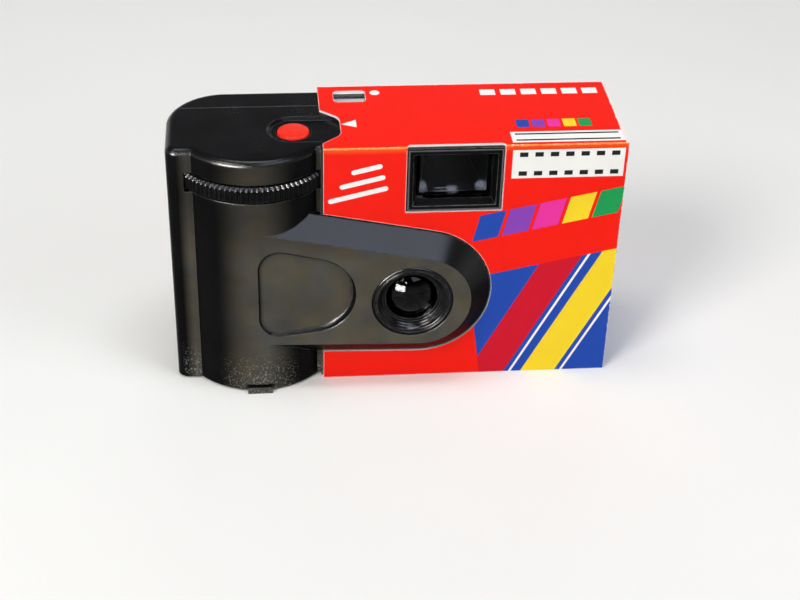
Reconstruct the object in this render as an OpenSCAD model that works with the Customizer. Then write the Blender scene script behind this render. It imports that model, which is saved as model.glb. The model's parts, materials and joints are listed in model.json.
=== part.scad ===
// Disposable film camera: a black moulded body half covered by a carton sleeve, with the film, its
// cartridge, the advance, the counter, the shutter and the viewfinder inside.
// Millimetres, +Z up, the front faces -Y.

/* [Body] */
// Width over the body and the carton
overall_w = 98; // [97:0.5:106]
// Height over the carton
overall_h = 60; // [59.5:0.5:66]
// Thickness of the moulded walls
wall = 1.5; // [1.2:0.1:1.7]
// Radius of the upright back corner at the grip
back_corner_r = 13; // [6:0.5:14]
// Radius of the upright front corner at the grip
front_corner_r = 2.4; // [1:0.2:3]
// Rounding of the top edges
top_round = 1.6; // [0.8:0.1:2.2]
// Depth of the strips beside the grip behind the face under the carton
strip_step = 1.15; // [0.6:0.05:1.6]
// Distance of the cover seam from the back face
seam_depth = 7.3; // [6.6:0.1:7.8]
// Length of the snap tongues of the back cover
tongue_l = 5; // [3:0.5:6]
// Width of the snap tongues
tongue_w = 6; // [4:0.5:8]

/* [Carton] */
// Width of the sleeve
carton_w = 65; // [64:0.5:66]
// Depth of the sleeve
carton_d = 28; // [27.5:0.1:29]
// Board thickness
carton_t = 0.5; // [0.3:0.1:0.6]
// Distance of the sleeve's face behind the front of the thumbwheel
carton_setback = 5.2; // [5:0.1:5.6]
// Room round each opening of the sleeve
cut_clear = 0.35; // [0.2:0.05:0.6]
// Depth of the notch beside the button
notch_w = 4.1; // [3:0.1:5]

/* [Thumbwheel] */
// Radius over the knurls
wheel_r = 18.4; // [18.2:0.1:18.8]
// Thickness of the wheel
wheel_h = 3.8; // [3.2:0.1:4]
// Number of knurls
knurl_count = 100; // [60:4:120]
// Depth of the knurls
knurl_depth = 0.5; // [0.3:0.1:0.8]
// How far the wheel stands out of the grip
wheel_proud = 0.9; // [0.6:0.1:1.2]
// How far the wheel stays inside the left face
wheel_inset = 0.1; // [0.1:0.1:0.4]
// Radius of the wheel's axle
axle_r = 3; // [2.4:0.1:3.4]
// Length of the axle
axle_l = 2.6; // [2:0.1:3]
// Radius of the fork that turns the cartridge spool
fork_r = 3.3; // [2.8:0.1:3.5]

/* [Film] */
// Radius of the cartridge
cart_r = 12.5; // [12.2:0.1:12.6]
// Height of the cartridge
cart_h = 43.5; // [43:0.1:44]
// Radius of the cartridge spool
spool_r = 5.5; // [5:0.1:5.8]
// Height of the spool hub above the cartridge
hub_h = 4.4; // [4:0.1:4.8]
// Film width
film_w = 35; // [34.8:0.1:35.2]
// Film thickness
film_t = 0.15; // [0.12:0.01:0.2]
// Distance of the film in front of the back face
film_depth = 2.8; // [2.6:0.05:3]
// Film gate width
gate_w = 36; // [35:0.2:36.4]
// Film gate height
gate_h = 24; // [22:0.2:24.4]
// Perforation pitch
perf_pitch = 4.75; // [4.7:0.01:4.8]
// Perforation width along the film
perf_w = 2; // [1.6:0.1:2.4]
// Perforation height across the film
perf_h = 2.8; // [2.4:0.1:3]
// Distance of a perforation from the film edge
perf_margin = 2; // [1.6:0.1:2.4]
// Number of sprocket teeth
sprocket_teeth = 8; // [7:1:9]
// Radius of the unexposed film roll
roll_r = 8.2; // [7:0.1:8.4]
// Radius of the supply spool
supply_r = 3.4; // [3:0.1:4]

/* [Lens and boss] */
// Distance of the lens axis from the thumbwheel axis
lens_offset = 33.9; // [33:0.1:34.6]
// Visible radius of the lens
lens_r = 5.6; // [5:0.1:5.8]
// Rise of the lens dome
lens_rise = 2.4; // [1.6:0.1:2.6]
// Radius of the lens ring
ring_r = 9; // [8.6:0.1:9.2]
// Radius of the round end of the boss face
boss_r = 11.2; // [11:0.1:12]
// Distance of the round end's centre beyond the lens axis
boss_shift = 1.8; // [1:0.1:2.4]
// Slope of the boss's upper edge
boss_top_slope = 11.5; // [9:0.5:13]
// Slope of the boss's lower edge
boss_bottom_slope = 1.5; // [0:0.5:3]
// Width of the bevel per depth of the boss
boss_bevel = 1.09; // [0.9:0.01:1.2]
// Width of the finger dish
dish_w = 21.4; // [18:0.2:22]
// Deepest part of the finger dish
dish_depth = 1.7; // [1:0.1:2]
// Depth of the finger dish at the grip
dish_lip = 0.4; // [0.3:0.05:0.6]
// Radius of the dish's round end
dish_big_r = 9.8; // [9:0.1:10]
// Radius of the dish's corners at the grip
dish_small_r = 4.7; // [3:0.1:5]
// Slope width of the dish's walls
dish_slope = 1.2; // [0.6:0.1:1.6]

/* [Button] */
// Radius of the button
button_r = 3.5; // [3:0.1:3.8]
// Distance of the button from the thumbwheel axis, sideways
button_dx = 8.6; // [8:0.1:9]
// Distance of the button in front of the thumbwheel axis
button_dy = 3.4; // [3:0.1:4.4]
// Travel of the button
button_travel = 0.8; // [0.5:0.1:0.8]
// Depth of the recess round the button
recess_depth = 0.7; // [0.6:0.1:1.8]
// Half width of the recess
recess_r = 5.6; // [5:0.1:6]

/* [Viewfinder] */
// Width of the window
view_w = 16.4; // [14:0.2:17]
// Height of the window
view_h = 11; // [9:0.2:11.4]
// Distance of the window's centre beyond the lens axis
view_shift = 8.7; // [8.2:0.1:9.4]
// Width of the frame round the window
view_frame = 1.9; // [1.5:0.1:2.2]
// Width of the eyepiece
eyepiece_w = 8.6; // [7:0.2:9]
// Height of the eyepiece
eyepiece_h = 6.8; // [5:0.2:7.4]

/* [Counter] */
// Radius of the counter disc
counter_r = 9; // [8.6:0.1:9]
// Number of its teeth
counter_teeth = 30; // [24:1:36]
// Width of the counter window
window_w = 7; // [5:0.2:7.4]
// Depth of the counter window
window_d = 5.2; // [4:0.2:5.4]

/* [Fits] */
// Gap between pieces that move past each other
gap = 0.3; // [0.2:0.05:0.35]
// Radial room of a pin in its bore
run = 0.06; // [0.04:0.01:0.1]

/* [Hidden] */

$fn = 96;
over = 1;
sheet = 0.01;
// An arc leaves its edge at a slight angle, so that no two faces of a shell are tangent
crease = 0.005;
arc_steps = 40;

// Outside of the carton and of the body in it
carton_x1 = overall_w / 2;
carton_x0 = carton_x1 - carton_w;
carton_y0 = -wheel_r + carton_setback;
carton_y1 = carton_y0 + carton_d;
body_x0 = -overall_w / 2;
body_x1 = carton_x1 - carton_t;
body_y0 = carton_y0 + carton_t;
body_y1 = carton_y1 - carton_t;
body_z0 = carton_t;
body_z1 = overall_h - carton_t;
strip_y = body_y0 + strip_step;
// Grip, cartridge and thumbwheel share one upright axis
grip_x = body_x0 + wheel_inset + wheel_r;
grip_r = wheel_r - wheel_proud;
strip_edge = 14;
step_x = grip_x + strip_edge;
seam_y = body_y1 - seam_depth;
in_x0 = body_x0 + wall;
in_x1 = body_x1 - wall;
in_y0 = body_y0 + wall;
in_y1 = body_y1 - wall;
in_z0 = body_z0 + wall;
in_z1 = body_z1 - wall;

// Cartridge and thumbwheel
door_t = 1.1;
cart_z0 = body_z0 + door_t + run;
cart_z1 = cart_z0 + cart_h;
chamber_r = cart_r + 2 * gap;
chamber_wall = 1.2;
chamber_z1 = cart_z1 + 2 * gap;
hub_z1 = cart_z1 + hub_h;
wheel_z0 = hub_z1 + gap;
wheel_z1 = wheel_z0 + wheel_h;
wheel_room = 0.4;
slot_r = wheel_r + wheel_room;
slot_z0 = wheel_z0 - wheel_room;
slot_z1 = wheel_z1 + wheel_room;
collar_room = 0.8;
collar_r = spool_r + collar_room;
collar_wall = 1.7;
key_w = 1.2;
spool_rise = 0.2;
wound_t = 1.1;
wound_r = spool_r + wound_t;
cap_t = 0.4;
cap_h = 1.6;
can_r = cart_r - cap_t;
can_t = 0.3;

// Film door under the cartridge
door_lap = 1.1;
door_r = cart_r + door_lap;
hinge_inset = 3.6;
hinge_y = door_r - hinge_inset;
hinge_r = 0.5;
hinge_z = body_z0 + hinge_r + run;
hinge_half = sqrt(pow(door_r + gap, 2) - pow(hinge_y, 2));
hinge_room = 0.5;
hinge_pin_r = 0.4;
hinge_pin_l = 1.6;
lug_w = 5.6;
lug_inset = 0.1;
lug_y = -wheel_r + lug_inset;

// Film path
lens_x = grip_x + lens_offset;
lens_z = cart_z0 + cart_h / 2;
film_y = body_y1 - film_depth;
film_z0 = lens_z - film_w / 2;
film_z1 = lens_z + film_w / 2;
gate_x0 = lens_x - gate_w / 2;
gate_x1 = lens_x + gate_w / 2;
film_float = 0.2;
gate_face = film_y - film_float;
gate_t = 1.5;
gate_rim = 2;
frame_x0 = gate_x0 - gate_rim;
frame_lap = 3;
frame_low = 1.4;
frame_high = 2.1;
frame_x1 = gate_x1 + frame_lap;
frame_z0 = film_z0 - frame_low;
frame_z1 = film_z1 + frame_high;
lip_room = 0.6;
lip_x1 = frame_x0 - lip_room;
lip_half = 1;
lip_y = film_y + film_t / 2;
film_room = 0.05;
felt_t = 0.25;
felt_l = 2.4;
slit_half = film_t / 2 + felt_t + film_room;
sprocket_r = perf_pitch * sprocket_teeth / (2 * PI);
sprocket_shift = 1.8;
sprocket_x = lens_x - sprocket_shift;
sprocket_y = film_y - sprocket_r;
sprocket_t = 1.6;
tooth_h = 1;
perf_z = film_z1 - perf_margin - perf_h / 2;
sprocket_z0 = perf_z - sprocket_t / 2;
shaft_r = 1.3;
shaft_foot = 1.7;
bearing_wall = 1.5;
bearing_l = 8.4;
bearing_r = shaft_r + bearing_wall;
bearing_z = frame_z1 - bearing_l;
finger_r = 2;
side_room = 0.2;
roll_lead = 0.4;
supply_room = 1.4;
supply_wall = 1.2;
supply_x = in_x1 - side_room - supply_wall - supply_room - roll_r;
supply_y = film_y - roll_r - roll_lead;
supply_pin_r = 1.8;
supply_pin_h = 2;
supply_plate = 1.2;

// Lens axis, boss and shutter, counted forward from the shutter board
board_depth = 4.2;
board_y = body_y0 + board_depth;
board_t = 1.2;
throat_r = 3.2;
boss_sink = 0.08;
boss_drop = 0.2;
boss_face = -(grip_r - boss_sink);
boss_x = lens_x + boss_shift;
boss_z = lens_z - boss_drop;
blade_t = 0.3;
blade_room = 0.2;
blade_y = board_y - blade_room;
holder_room = 0.4;
holder_y = blade_y - blade_t - holder_room;
holder_t = 1;
holder_r = 7.6;
ring_seat = 1;
ring_back = boss_face + wall + ring_seat;
flange_lip = 0.6;
flange_r = lens_r + flange_lip;
flange_t = 1.5;
aperture_t = 0.3;
lens_back = ring_back + flange_t;
dish_gap = 3.4;
dish_rise = 2.4;
dish_top = 9.3;
dish_low = 3.7;
dish_x0 = lens_x - ring_r - dish_gap - dish_w;
dome_r = (lens_r * lens_r + lens_rise * lens_rise) / (2 * lens_rise);
swing_t = 1.1;
hammer_y = blade_y - blade_t - gap;
blade_dx = 8.4;
blade_dz = 9.6;
blade_x = lens_x - blade_dx;
blade_z = lens_z + blade_dz;
blade_pin_r = 0.9;
blade_pin_l = 2.2;
hammer_dx = 1.5;
hammer_dz = 13.5;
hammer_x = blade_x - hammer_dx;
hammer_z = blade_z + hammer_dz;
hammer_pin_r = 1.2;
hammer_pin_l = 2.5;
strike_dx = 1.65;
strike_dz = 3.8;
strike_x = blade_x - strike_dx;
strike_z = blade_z + strike_dz;
coil_room = 0.15;
spring_room = 0.1;

// Top deck, release lever and button
deck_t = 1.2;
deck_rise = 0.5;
deck_z1 = wheel_z1 + deck_rise;
deck_room = 1.1;
deck_x0 = grip_x + slot_r + deck_room;
deck_lap = 3;
deck_x1 = sprocket_x + deck_lap;
deck_step = 2.8;
deck_step_x = deck_x1 - deck_step;
lever_t = 0.8;
lever_rise = 1.2;
lever_z0 = wheel_z1 + lever_rise;
lever_z1 = lever_z0 + lever_t;
lever_dx = 0.6;
lever_x = deck_x0 + lever_dx;
lever_dy = 1.2;
lever_y = board_y - lever_dy;
lever_hook = 1.4;
lever_pin_r = 0.8;
lever_pin_l = 3.4;
lever_pin_z = lever_z0 + lever_t / 2;
lever_hub_r = 1.4;
ear_t = 1.2;
button_x = grip_x + button_dx;
button_y = -button_dy;
floor_t = 1;
floor_z = body_z1 - recess_depth;
recess_end = 1;
recess_wall = 0.4;
recess_x1 = carton_x0 + notch_w + recess_end;
button_sink = 0.1;
button_z1 = body_z1 - button_sink;
brim_room = 0.2;

// Counter and viewfinder
window_dx = 12.5;
window_dy = 4.3;
window_sink = 0.2;
window_x = lens_x - window_dx;
window_y = body_y1 - window_dy;
counter_room = 0.6;
counter_rise = 0.8;
counter_x = window_x;
counter_y = in_y1 - counter_r - counter_room;
counter_z0 = deck_z1 + counter_rise;
counter_t = 0.9;
counter_pin_r = 1.2;
view_drop = 0.8;
view_lap = 0.4;
view_x = lens_x + view_shift;
view_z = in_z1 - view_drop - view_h / 2;
pane_t = 1.4;
pane_rim = 0.7;
tunnel_wall = 1;
eyepiece_z = view_z;

function arc(x, y, r, a0, a1, n) =
    [for (i = [0:n]) let (a = a0 + (a1 - a0) * i / n) [x + r * cos(a), y + r * sin(a)]];

// Points of a curve that takes off the corner b of the path a, b, c, starting d before it
function eased(a, b, c, d, n) =
    let (u = d * (a - b) / norm(a - b), v = d * (c - b) / norm(c - b))
    [for (i = [0:n]) b + u * (1 - i / n) ^ 2 + v * (i / n) ^ 2];

// Round cutter for an outer corner whose inside lies towards (sx, sy)
module corner_cut(x, y, r, sx, sy) {
    inset = r * (1 - crease);
    translate([x, y])
        mirror([sx < 0 ? 1 : 0, 0])
            mirror([0, sy < 0 ? 1 : 0])
                difference() {
                    translate([-over, -over])
                        square(over + inset);
                    translate([inset, inset])
                        circle(r);
                }
}

// Stands a flat shape up in the plane Y = y and extrudes it forward
module forward(y, t) {
    translate([0, y, 0])
        rotate([90, 0, 0])
            linear_extrude(t)
                children();
}

// A round pin that points forward from the plane Y = y
module pin_forward(x, y, z, r, l) {
    translate([x, y, z])
        rotate([90, 0, 0])
            cylinder(r = r, h = l);
}

// A box given by its two corners
module box(a, b) {
    translate(a)
        cube(b - a);
}

module body_plan() {
    difference() {
        union() {
            translate([body_x0, strip_y])
                square([body_x1 - body_x0, body_y1 - strip_y]);
            translate([step_x, body_y0])
                square([body_x1 - step_x, strip_step + over]);
        }
        corner_cut(body_x0, strip_y, front_corner_r, 1, 1);
        corner_cut(body_x0, body_y1, back_corner_r, 1, -1);
    }
}

// Round cutters along the top edges of the part that the carton leaves bare
module top_edge_cuts() {
    translate([body_x0 - over, body_y1, body_z1])
        rotate([90, 0, 90])
            linear_extrude(overall_w - carton_w + over)
                corner_cut(0, 0, top_round, -1, -1);
    translate([body_x0 - over, strip_y, body_z1])
        mirror([0, 1, 0])
            rotate([90, 0, 90])
                linear_extrude(step_x - body_x0 + over)
                    corner_cut(0, 0, top_round, -1, -1);
    translate([body_x0, body_y1 + over, body_z1])
        mirror([1, 0, 0])
            rotate([90, 0, 0])
                linear_extrude(body_y1 - strip_y + 2 * over)
                    corner_cut(0, 0, top_round, -1, -1);
    translate([body_x0, body_y1, body_z1])
        translate([back_corner_r, -back_corner_r, 0] * (1 - crease))
            rotate([0, 0, 90])
                rotate_extrude(angle = 90)
                    corner_cut(back_corner_r, 0, top_round, -1, -1);
    translate([body_x0, strip_y, body_z1])
        translate([front_corner_r, front_corner_r, 0] * (1 - crease))
            rotate([0, 0, 180])
                rotate_extrude(angle = 90)
                    corner_cut(front_corner_r, 0, top_round, -1, -1);
}

// Front half of a cylinder on the grip axis, with a rounded top rim
module grip_half(r, z0, z1, rim) {
    translate([grip_x, 0, z0])
        rotate([0, 0, 180])
            rotate_extrude(angle = 180)
                difference() {
                    square([r, z1 - z0]);
                    corner_cut(r, z1 - z0, rim, -1, -1);
                }
}

module body_outside() {
    difference() {
        translate([0, 0, body_z0])
            linear_extrude(body_z1 - body_z0)
                body_plan();
        top_edge_cuts();
    }
    grip_half(grip_r, body_z0, body_z1, top_round);
}

module body_inside() {
    bevel = back_corner_r * (2 - sqrt(2)) - wall * (sqrt(2) - 1);
    translate([0, 0, in_z0])
        linear_extrude(in_z1 - in_z0) {
            polygon([
                [in_x0, strip_y + wall], [in_x1, strip_y + wall], [in_x1, in_y1],
                [in_x0 + bevel, in_y1], [in_x0, in_y1 - bevel]
            ]);
            translate([step_x + wall, in_y0])
                square([in_x1 - step_x - wall, strip_step + over]);
        }
    grip_half(grip_r - wall, in_z0, in_z1, top_round);
}

module body_shell() {
    difference() {
        body_outside();
        body_inside();
    }
}

// Boss outline grown by d, seen from the front
module boss_outline(d) {
    r = boss_r + d;
    top_normal = 90 - boss_top_slope;
    bottom_normal = -90 - boss_bottom_slope;
    top_z = boss_z + r * sin(top_normal)
        + (boss_x + r * cos(top_normal) - grip_x) * tan(boss_top_slope);
    bottom_z = boss_z + r * sin(bottom_normal)
        + (boss_x + r * cos(bottom_normal) - grip_x) * tan(boss_bottom_slope);
    polygon(concat(
        arc(boss_x, boss_z, r, top_normal, bottom_normal, arc_steps),
        [[grip_x, bottom_z], [grip_x, top_z]]
    ));
}

// Bevelled boss whose face lies at Y = face: it spreads back to the carton's face, then runs straight
module boss(face, foot, inset) {
    spread = (carton_y0 - boss_face) * boss_bevel - inset;
    hull() {
        forward(face + sheet, sheet)
            boss_outline(-inset);
        forward(carton_y0 + sheet, sheet)
            boss_outline(spread);
    }
    forward(foot, foot - carton_y0)
        boss_outline(spread);
}

// The three discs that span the dish's outline, grown by d, counted from its edge at the grip
module dish_discs(d) {
    for (disc = [[dish_w - dish_big_r, lens_z + dish_rise, dish_big_r],
                 [dish_small_r, lens_z + dish_top, dish_small_r],
                 [dish_small_r, lens_z - dish_low, dish_small_r]])
        pin_forward(disc[0], sheet, disc[1], disc[2] + d, sheet, $fn = 32);
}

// Finger dish beside the lens: a tilted floor, shallow at the grip, deep towards the lens, with a
// rounded foot
module dish(front, grow) {
    tilt = atan((dish_depth - dish_lip) / dish_w);
    hull() {
        translate([dish_x0, boss_face + front, 0])
            dish_discs(grow);
        for (turn = [0 : 30 : 90])
            translate([dish_x0, boss_face + grow + dish_lip * sin(turn), 0])
                rotate([0, 0, tilt * sin(turn)])
                    dish_discs(grow - dish_slope * (1 - cos(turn)));
    }
}

module view_opening() {
    flare = 0.8;
    hull() {
        forward(carton_y0, sheet)
            translate([view_x, view_z])
                square([view_w + 2 * flare, view_h + 2 * flare], center = true);
        forward(in_y0 + sheet, sheet)
            translate([view_x, view_z])
                square([view_w, view_h], center = true);
    }
    forward(in_y0 + over, over)
        translate([view_x, view_z])
            square([view_w, view_h], center = true);
    forward(carton_y0 + sheet, over)
        translate([view_x, view_z])
            square([view_w + 2 * flare, view_h + 2 * flare], center = true);
}

module view_bezel() {
    box([view_x - view_w / 2 - view_frame, carton_y0, view_z - view_h / 2 - view_frame],
        [view_x + view_w / 2 + view_frame, in_y0, body_z1]);
}

// Recess outline round the button, from above, grown by d
module recess_outline(d) {
    polygon(concat(
        arc(button_x, button_y, recess_r + d, 90, 270, arc_steps),
        [[recess_x1 + d, button_y - recess_r - d], [recess_x1 + d, button_y + recess_r + d]]
    ));
}

module recess_cut() {
    flare = 0.7;
    hull() {
        translate([0, 0, floor_z])
            linear_extrude(sheet)
                recess_outline(-flare);
        translate([0, 0, body_z1])
            linear_extrude(sheet)
                recess_outline(0);
    }
}

module counter_hole(d) {
    box([window_x - window_w / 2 - d, window_y - window_d / 2 - d, in_z1 - over],
        [window_x + window_w / 2 + d, window_y + window_d / 2 + d, overall_h + over]);
}

module wheel_slot() {
    translate([grip_x, 0, slot_z0])
        cylinder(r = slot_r, h = slot_z1 - slot_z0);
}

// Opening under the cartridge, closed by the film door
module door_plan(d) {
    difference() {
        translate([grip_x, 0])
            circle(door_r + d);
        translate([grip_x - door_r - 2 * over, hinge_y + d])
            square([2 * door_r + 4 * over, door_r]);
    }
}

module door_opening() {
    translate([0, 0, body_z0 - over])
        linear_extrude(wall + over + sheet)
            door_plan(gap);
    box([grip_x - hinge_half - hinge_room, hinge_y - over, body_z0 - over],
        [grip_x + hinge_half + hinge_room, hinge_y + hinge_r + gap, in_z0 + sheet]);
    box([grip_x - lug_w / 2 - gap, -grip_r - over, body_z0 - over],
        [grip_x + lug_w / 2 + gap, -door_r + over, body_z0 + door_t + gap]);
}

module hinge_axis(r, half) {
    translate([grip_x - half, hinge_y, hinge_z])
        rotate([0, 90, 0])
            cylinder(r = r, h = 2 * half);
}

module carton_sleeve() {
    color("firebrick")
        difference() {
            box([carton_x0, carton_y0, 0], [carton_x1, carton_y1, overall_h]);
            box([carton_x0 - over, body_y0, body_z0], [body_x1, body_y1, body_z1]);
            forward(body_y0 + over, carton_t + 2 * over)
                boss_outline((carton_y0 - boss_face) * boss_bevel + cut_clear);
            view_cut();
            translate([0, 0, body_z1 - over])
                linear_extrude(carton_t + 2 * over)
                    notch_outline();
            translate([0, 0, body_z1 - over])
                linear_extrude(carton_t + 2 * over)
                    window_outline();
            forward(carton_y1 + over, carton_t + 2 * over)
                translate([view_x, eyepiece_z])
                    square([eyepiece_w + 2 * cut_clear, eyepiece_h + 2 * cut_clear], center = true);
        }
}

// Opening of the sleeve round the viewfinder, which laps over the top fold
module view_cut() {
    half = view_w / 2 + view_frame + cut_clear;
    lap_y = body_y0 + view_lap;
    lap_round = 0.8;
    z0 = view_z - view_h / 2 - view_frame - cut_clear;
    translate([0, 0, z0])
        linear_extrude(overall_h - z0 + over)
            difference() {
                translate([view_x - half, carton_y0 - over])
                    square([2 * half, lap_y - carton_y0 + over]);
                corner_cut(view_x - half, lap_y, lap_round, 1, -1);
                corner_cut(view_x + half, lap_y, lap_round, -1, -1);
            }
}

// Opening of the sleeve over the counter window
module window_outline() {
    corner = 1;
    difference() {
        translate([window_x, window_y])
            square([window_w, window_d], center = true);
        for (sx = [-1, 1], sy = [-1, 1])
            corner_cut(window_x - sx * window_w / 2, window_y - sy * window_d / 2, corner, sx, sy);
    }
}

// Notch of the sleeve beside the button, with slanted ends and eased corners
module notch_outline() {
    slant = 3.6;
    half = recess_r + 1.8;
    ease = 1.4;
    ease_steps = 5;
    foot = [carton_x0 - over, button_y - half - over * slant / notch_w];
    low = [carton_x0 + notch_w, button_y - half + slant];
    high = [carton_x0 + notch_w, button_y + half - slant];
    head = [carton_x0 - over, button_y + half + over * slant / notch_w];
    polygon(concat([foot], eased(foot, low, high, ease, ease_steps),
                   eased(low, high, head, ease, ease_steps), [head]));
}

module front_cover() {
    socket_wall = 1.6;
    color("dimgray")
        difference() {
            union() {
                difference() {
                    union() {
                        body_shell();
                        boss(boss_face, in_y0, 0);
                        view_bezel();
                    }
                    boss(boss_face + wall, in_y0 + over, wall);
                    body_inside();
                }
                dish(wall / 2, wall);
                translate([grip_x, 0, slot_z1])
                    cylinder(r = axle_r + socket_wall, h = in_z1 - slot_z1 + sheet);
                translate([0, 0, floor_z - floor_t])
                    linear_extrude(in_z1 - floor_z + floor_t + sheet)
                        recess_outline(recess_wall);
            }
            box([body_x0 - over, seam_y, -over], [body_x1 + over, body_y1 + over, overall_h + over]);
            dish(-gap, 0);
            view_opening();
            recess_cut();
            pin_forward(lens_x, boss_face + wall + over, lens_z, ring_r + run, wall + 2 * over);
            translate([button_x, button_y, floor_z - floor_t - over])
                cylinder(r = button_r + gap, h = floor_t + 2 * over);
            translate([grip_x, 0, slot_z1 - over])
                cylinder(r = axle_r + run, h = axle_l + over);
            wheel_slot();
            door_opening();
        }
}

// Ribs, tongues and pad moulded on the inside of the back cover
module back_inside() {
    pad_z = 13;
    pad_room = 0.1;
    box([gate_x0 + gate_rim, film_y + film_t + pad_room, lens_z - pad_z],
        [gate_x1 - gate_rim, in_y1 + sheet, lens_z + pad_z]);
    for (x = [in_x0 + 1.5 * tongue_w, view_x + view_w, in_x1 - tongue_w])
        box([x - tongue_w / 2, seam_y - tongue_l, in_z1 - wall],
            [x + tongue_w / 2, seam_y + over, in_z1]);
    for (x = [lens_x - tongue_w, lens_x + 2 * tongue_w])
        box([x - tongue_w / 2, seam_y - tongue_l, in_z0],
            [x + tongue_w / 2, seam_y + over, in_z0 + wall]);
}

module back_cover() {
    color("dimgray")
        difference() {
            union() {
                difference() {
                    body_shell();
                    box([body_x0 - over, -grip_r - over, -over],
                        [body_x1 + over, seam_y, overall_h + over]);
                }
                back_inside();
            }
            wheel_slot();
            door_opening();
            translate([grip_x, 0, cart_z0 - gap])
                cylinder(r = cart_r + gap, h = wall);
            counter_hole(0);
            hinge_axis(hinge_pin_r + run, hinge_half + hinge_pin_l + gap);
            forward(body_y1 + over, wall + 2 * over)
                translate([view_x, eyepiece_z])
                    square([eyepiece_w, eyepiece_h], center = true);
        }
}

// Half tube that is open at the back, with its floor and ceiling cut off at Y = y1
module half_tube(x, y, r, t, z0, z1, y1) {
    difference() {
        translate([x, y, z0])
            cylinder(r = r + t, h = z1 - z0);
        translate([x, y, z0 - over])
            cylinder(r = r, h = z1 - z0 + 2 * over);
        box([x - r - t - over, y1, z0 - over], [x + r + t + over, y + r + t + over, z1 + over]);
    }
}

module disc_cut(x, y, r, z0, z1, y1) {
    difference() {
        translate([x, y, z0])
            cylinder(r = r, h = z1 - z0);
        box([x - r - over, y1, z0 - over], [x + r + over, y + r + over, z1 + over]);
    }
}

// Light box between the shutter board and the film gate, grown by its wall
module light_cone(grow) {
    cone_throat = 4;
    hull() {
        forward(gate_face - gate_t + grow, sheet)
            translate([lens_x, lens_z])
                square([gate_w + 2 * grow, gate_h + 2 * grow], center = true);
        forward(board_y + board_t, sheet)
            translate([lens_x, lens_z])
                square(2 * (cone_throat + grow), center = true);
    }
}

module cartridge_chamber() {
    mouth_inset = 2.5;
    mouth_y = hinge_y - mouth_inset;
    half_tube(grip_x, 0, chamber_r, chamber_wall, in_z0, chamber_z1, mouth_y);
    difference() {
        union() {
            disc_cut(grip_x, 0, chamber_r + chamber_wall, chamber_z1, chamber_z1 + chamber_wall, film_y);
            translate([grip_x, 0, chamber_z1])
                cylinder(r = collar_r + collar_wall, h = wheel_z0 - gap - chamber_z1);
        }
        translate([grip_x, 0, chamber_z1 - over])
            cylinder(r = collar_r, h = hub_h + 2 * over);
    }
}

module supply_chamber() {
    r = roll_r + supply_room;
    z0 = film_z0 - supply_pin_h - supply_plate;
    z1 = film_z1 + supply_pin_h + supply_plate;
    mouth_reach = 5.6;
    mouth_y = supply_y + mouth_reach;
    half_tube(supply_x, supply_y, r, supply_wall, in_z0, z1, mouth_y);
    disc_cut(supply_x, supply_y, r + supply_wall, z0, z0 + supply_plate, film_y - gap);
    disc_cut(supply_x, supply_y, r + supply_wall, z1 - supply_plate, z1, film_y - gap);
    translate([supply_x, supply_y, z0 + supply_plate / 2])
        cylinder(r = supply_pin_r, h = supply_plate / 2 + supply_pin_h);
    translate([supply_x, supply_y, z1 - supply_plate - supply_pin_h])
        cylinder(r = supply_pin_r, h = supply_pin_h + supply_plate / 2);
}

module film_gate() {
    web_y = sprocket_y;
    rail = 0.9;
    rail_h = 1.2;
    rail_room = 0.2;
    web_seat = 0.5;
    web_in = 1.2;
    web_x0 = grip_x + sqrt(pow(chamber_r, 2) - pow(web_y, 2)) + web_seat;
    box([frame_x0, gate_face - gate_t, frame_z0], [frame_x1, gate_face, frame_z1]);
    box([frame_x0, gate_face - sheet, frame_z0],
        [frame_x1, gate_face + rail, film_z0 - rail_room]);
    box([frame_x0, gate_face - sheet, film_z1 + rail_room],
        [frame_x1, gate_face + rail, film_z1 + rail_room + rail_h]);
    box([web_x0, web_y, frame_z0],
        [frame_x0 + web_in, gate_face - gate_t + sheet, frame_z1]);
    box([frame_x1 - over, web_y + over, frame_z0],
        [supply_x - roll_r - supply_room + gap, gate_face - gate_t + sheet, frame_z1]);
}

module shutter_board() {
    board_low = 13;
    box([deck_x0, board_y, lens_z - board_low], [gate_x1 - gate_rim, board_y + board_t, frame_z1]);
    box([deck_x0, board_y, frame_z1 - over], [deck_step_x, board_y + board_t, deck_z1]);
    pin_forward(blade_x, board_y + sheet, blade_z, blade_pin_r, blade_pin_l);
    pin_forward(hammer_x, board_y + sheet, hammer_z, hammer_pin_r, hammer_pin_l);
}

module top_deck() {
    post_w = 8;
    counter_pin_end = 0.6;
    pawl_half = 1.2;
    pawl_lap = 0.1;
    translate([0, 0, deck_z1 - deck_t])
        linear_extrude(deck_t)
            polygon([
                [deck_x0, board_y], [deck_step_x, board_y], [deck_step_x, 0],
                [deck_x1, sprocket_y + bearing_r], [deck_x1, gate_face], [deck_x0, gate_face]
            ]);
    box([deck_x0, gate_face - gate_t, frame_z1 - over], [deck_x0 + post_w, gate_face, deck_z1]);
    translate([counter_x, counter_y, deck_z1 - sheet])
        cylinder(r = counter_pin_r, h = counter_z0 + counter_t - deck_z1 + counter_pin_end);
    translate([counter_x, counter_y, deck_z1 - sheet])
        cylinder(r = 2 * counter_pin_r, h = counter_z0 - gap - deck_z1);
    box([lever_x - lever_hub_r, board_y + board_t - ear_t, deck_z1 - deck_t],
        [lever_x + lever_hub_r, board_y + board_t + ear_t, lever_pin_z + lever_hub_r]);
    pin_forward(lever_x, board_y + board_t, lever_pin_z, lever_pin_r, lever_pin_l);
    box([grip_x + slot_r - pawl_lap, -pawl_half, wheel_z0 + over],
        [deck_x0 + over, pawl_half, deck_z1]);
}

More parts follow.
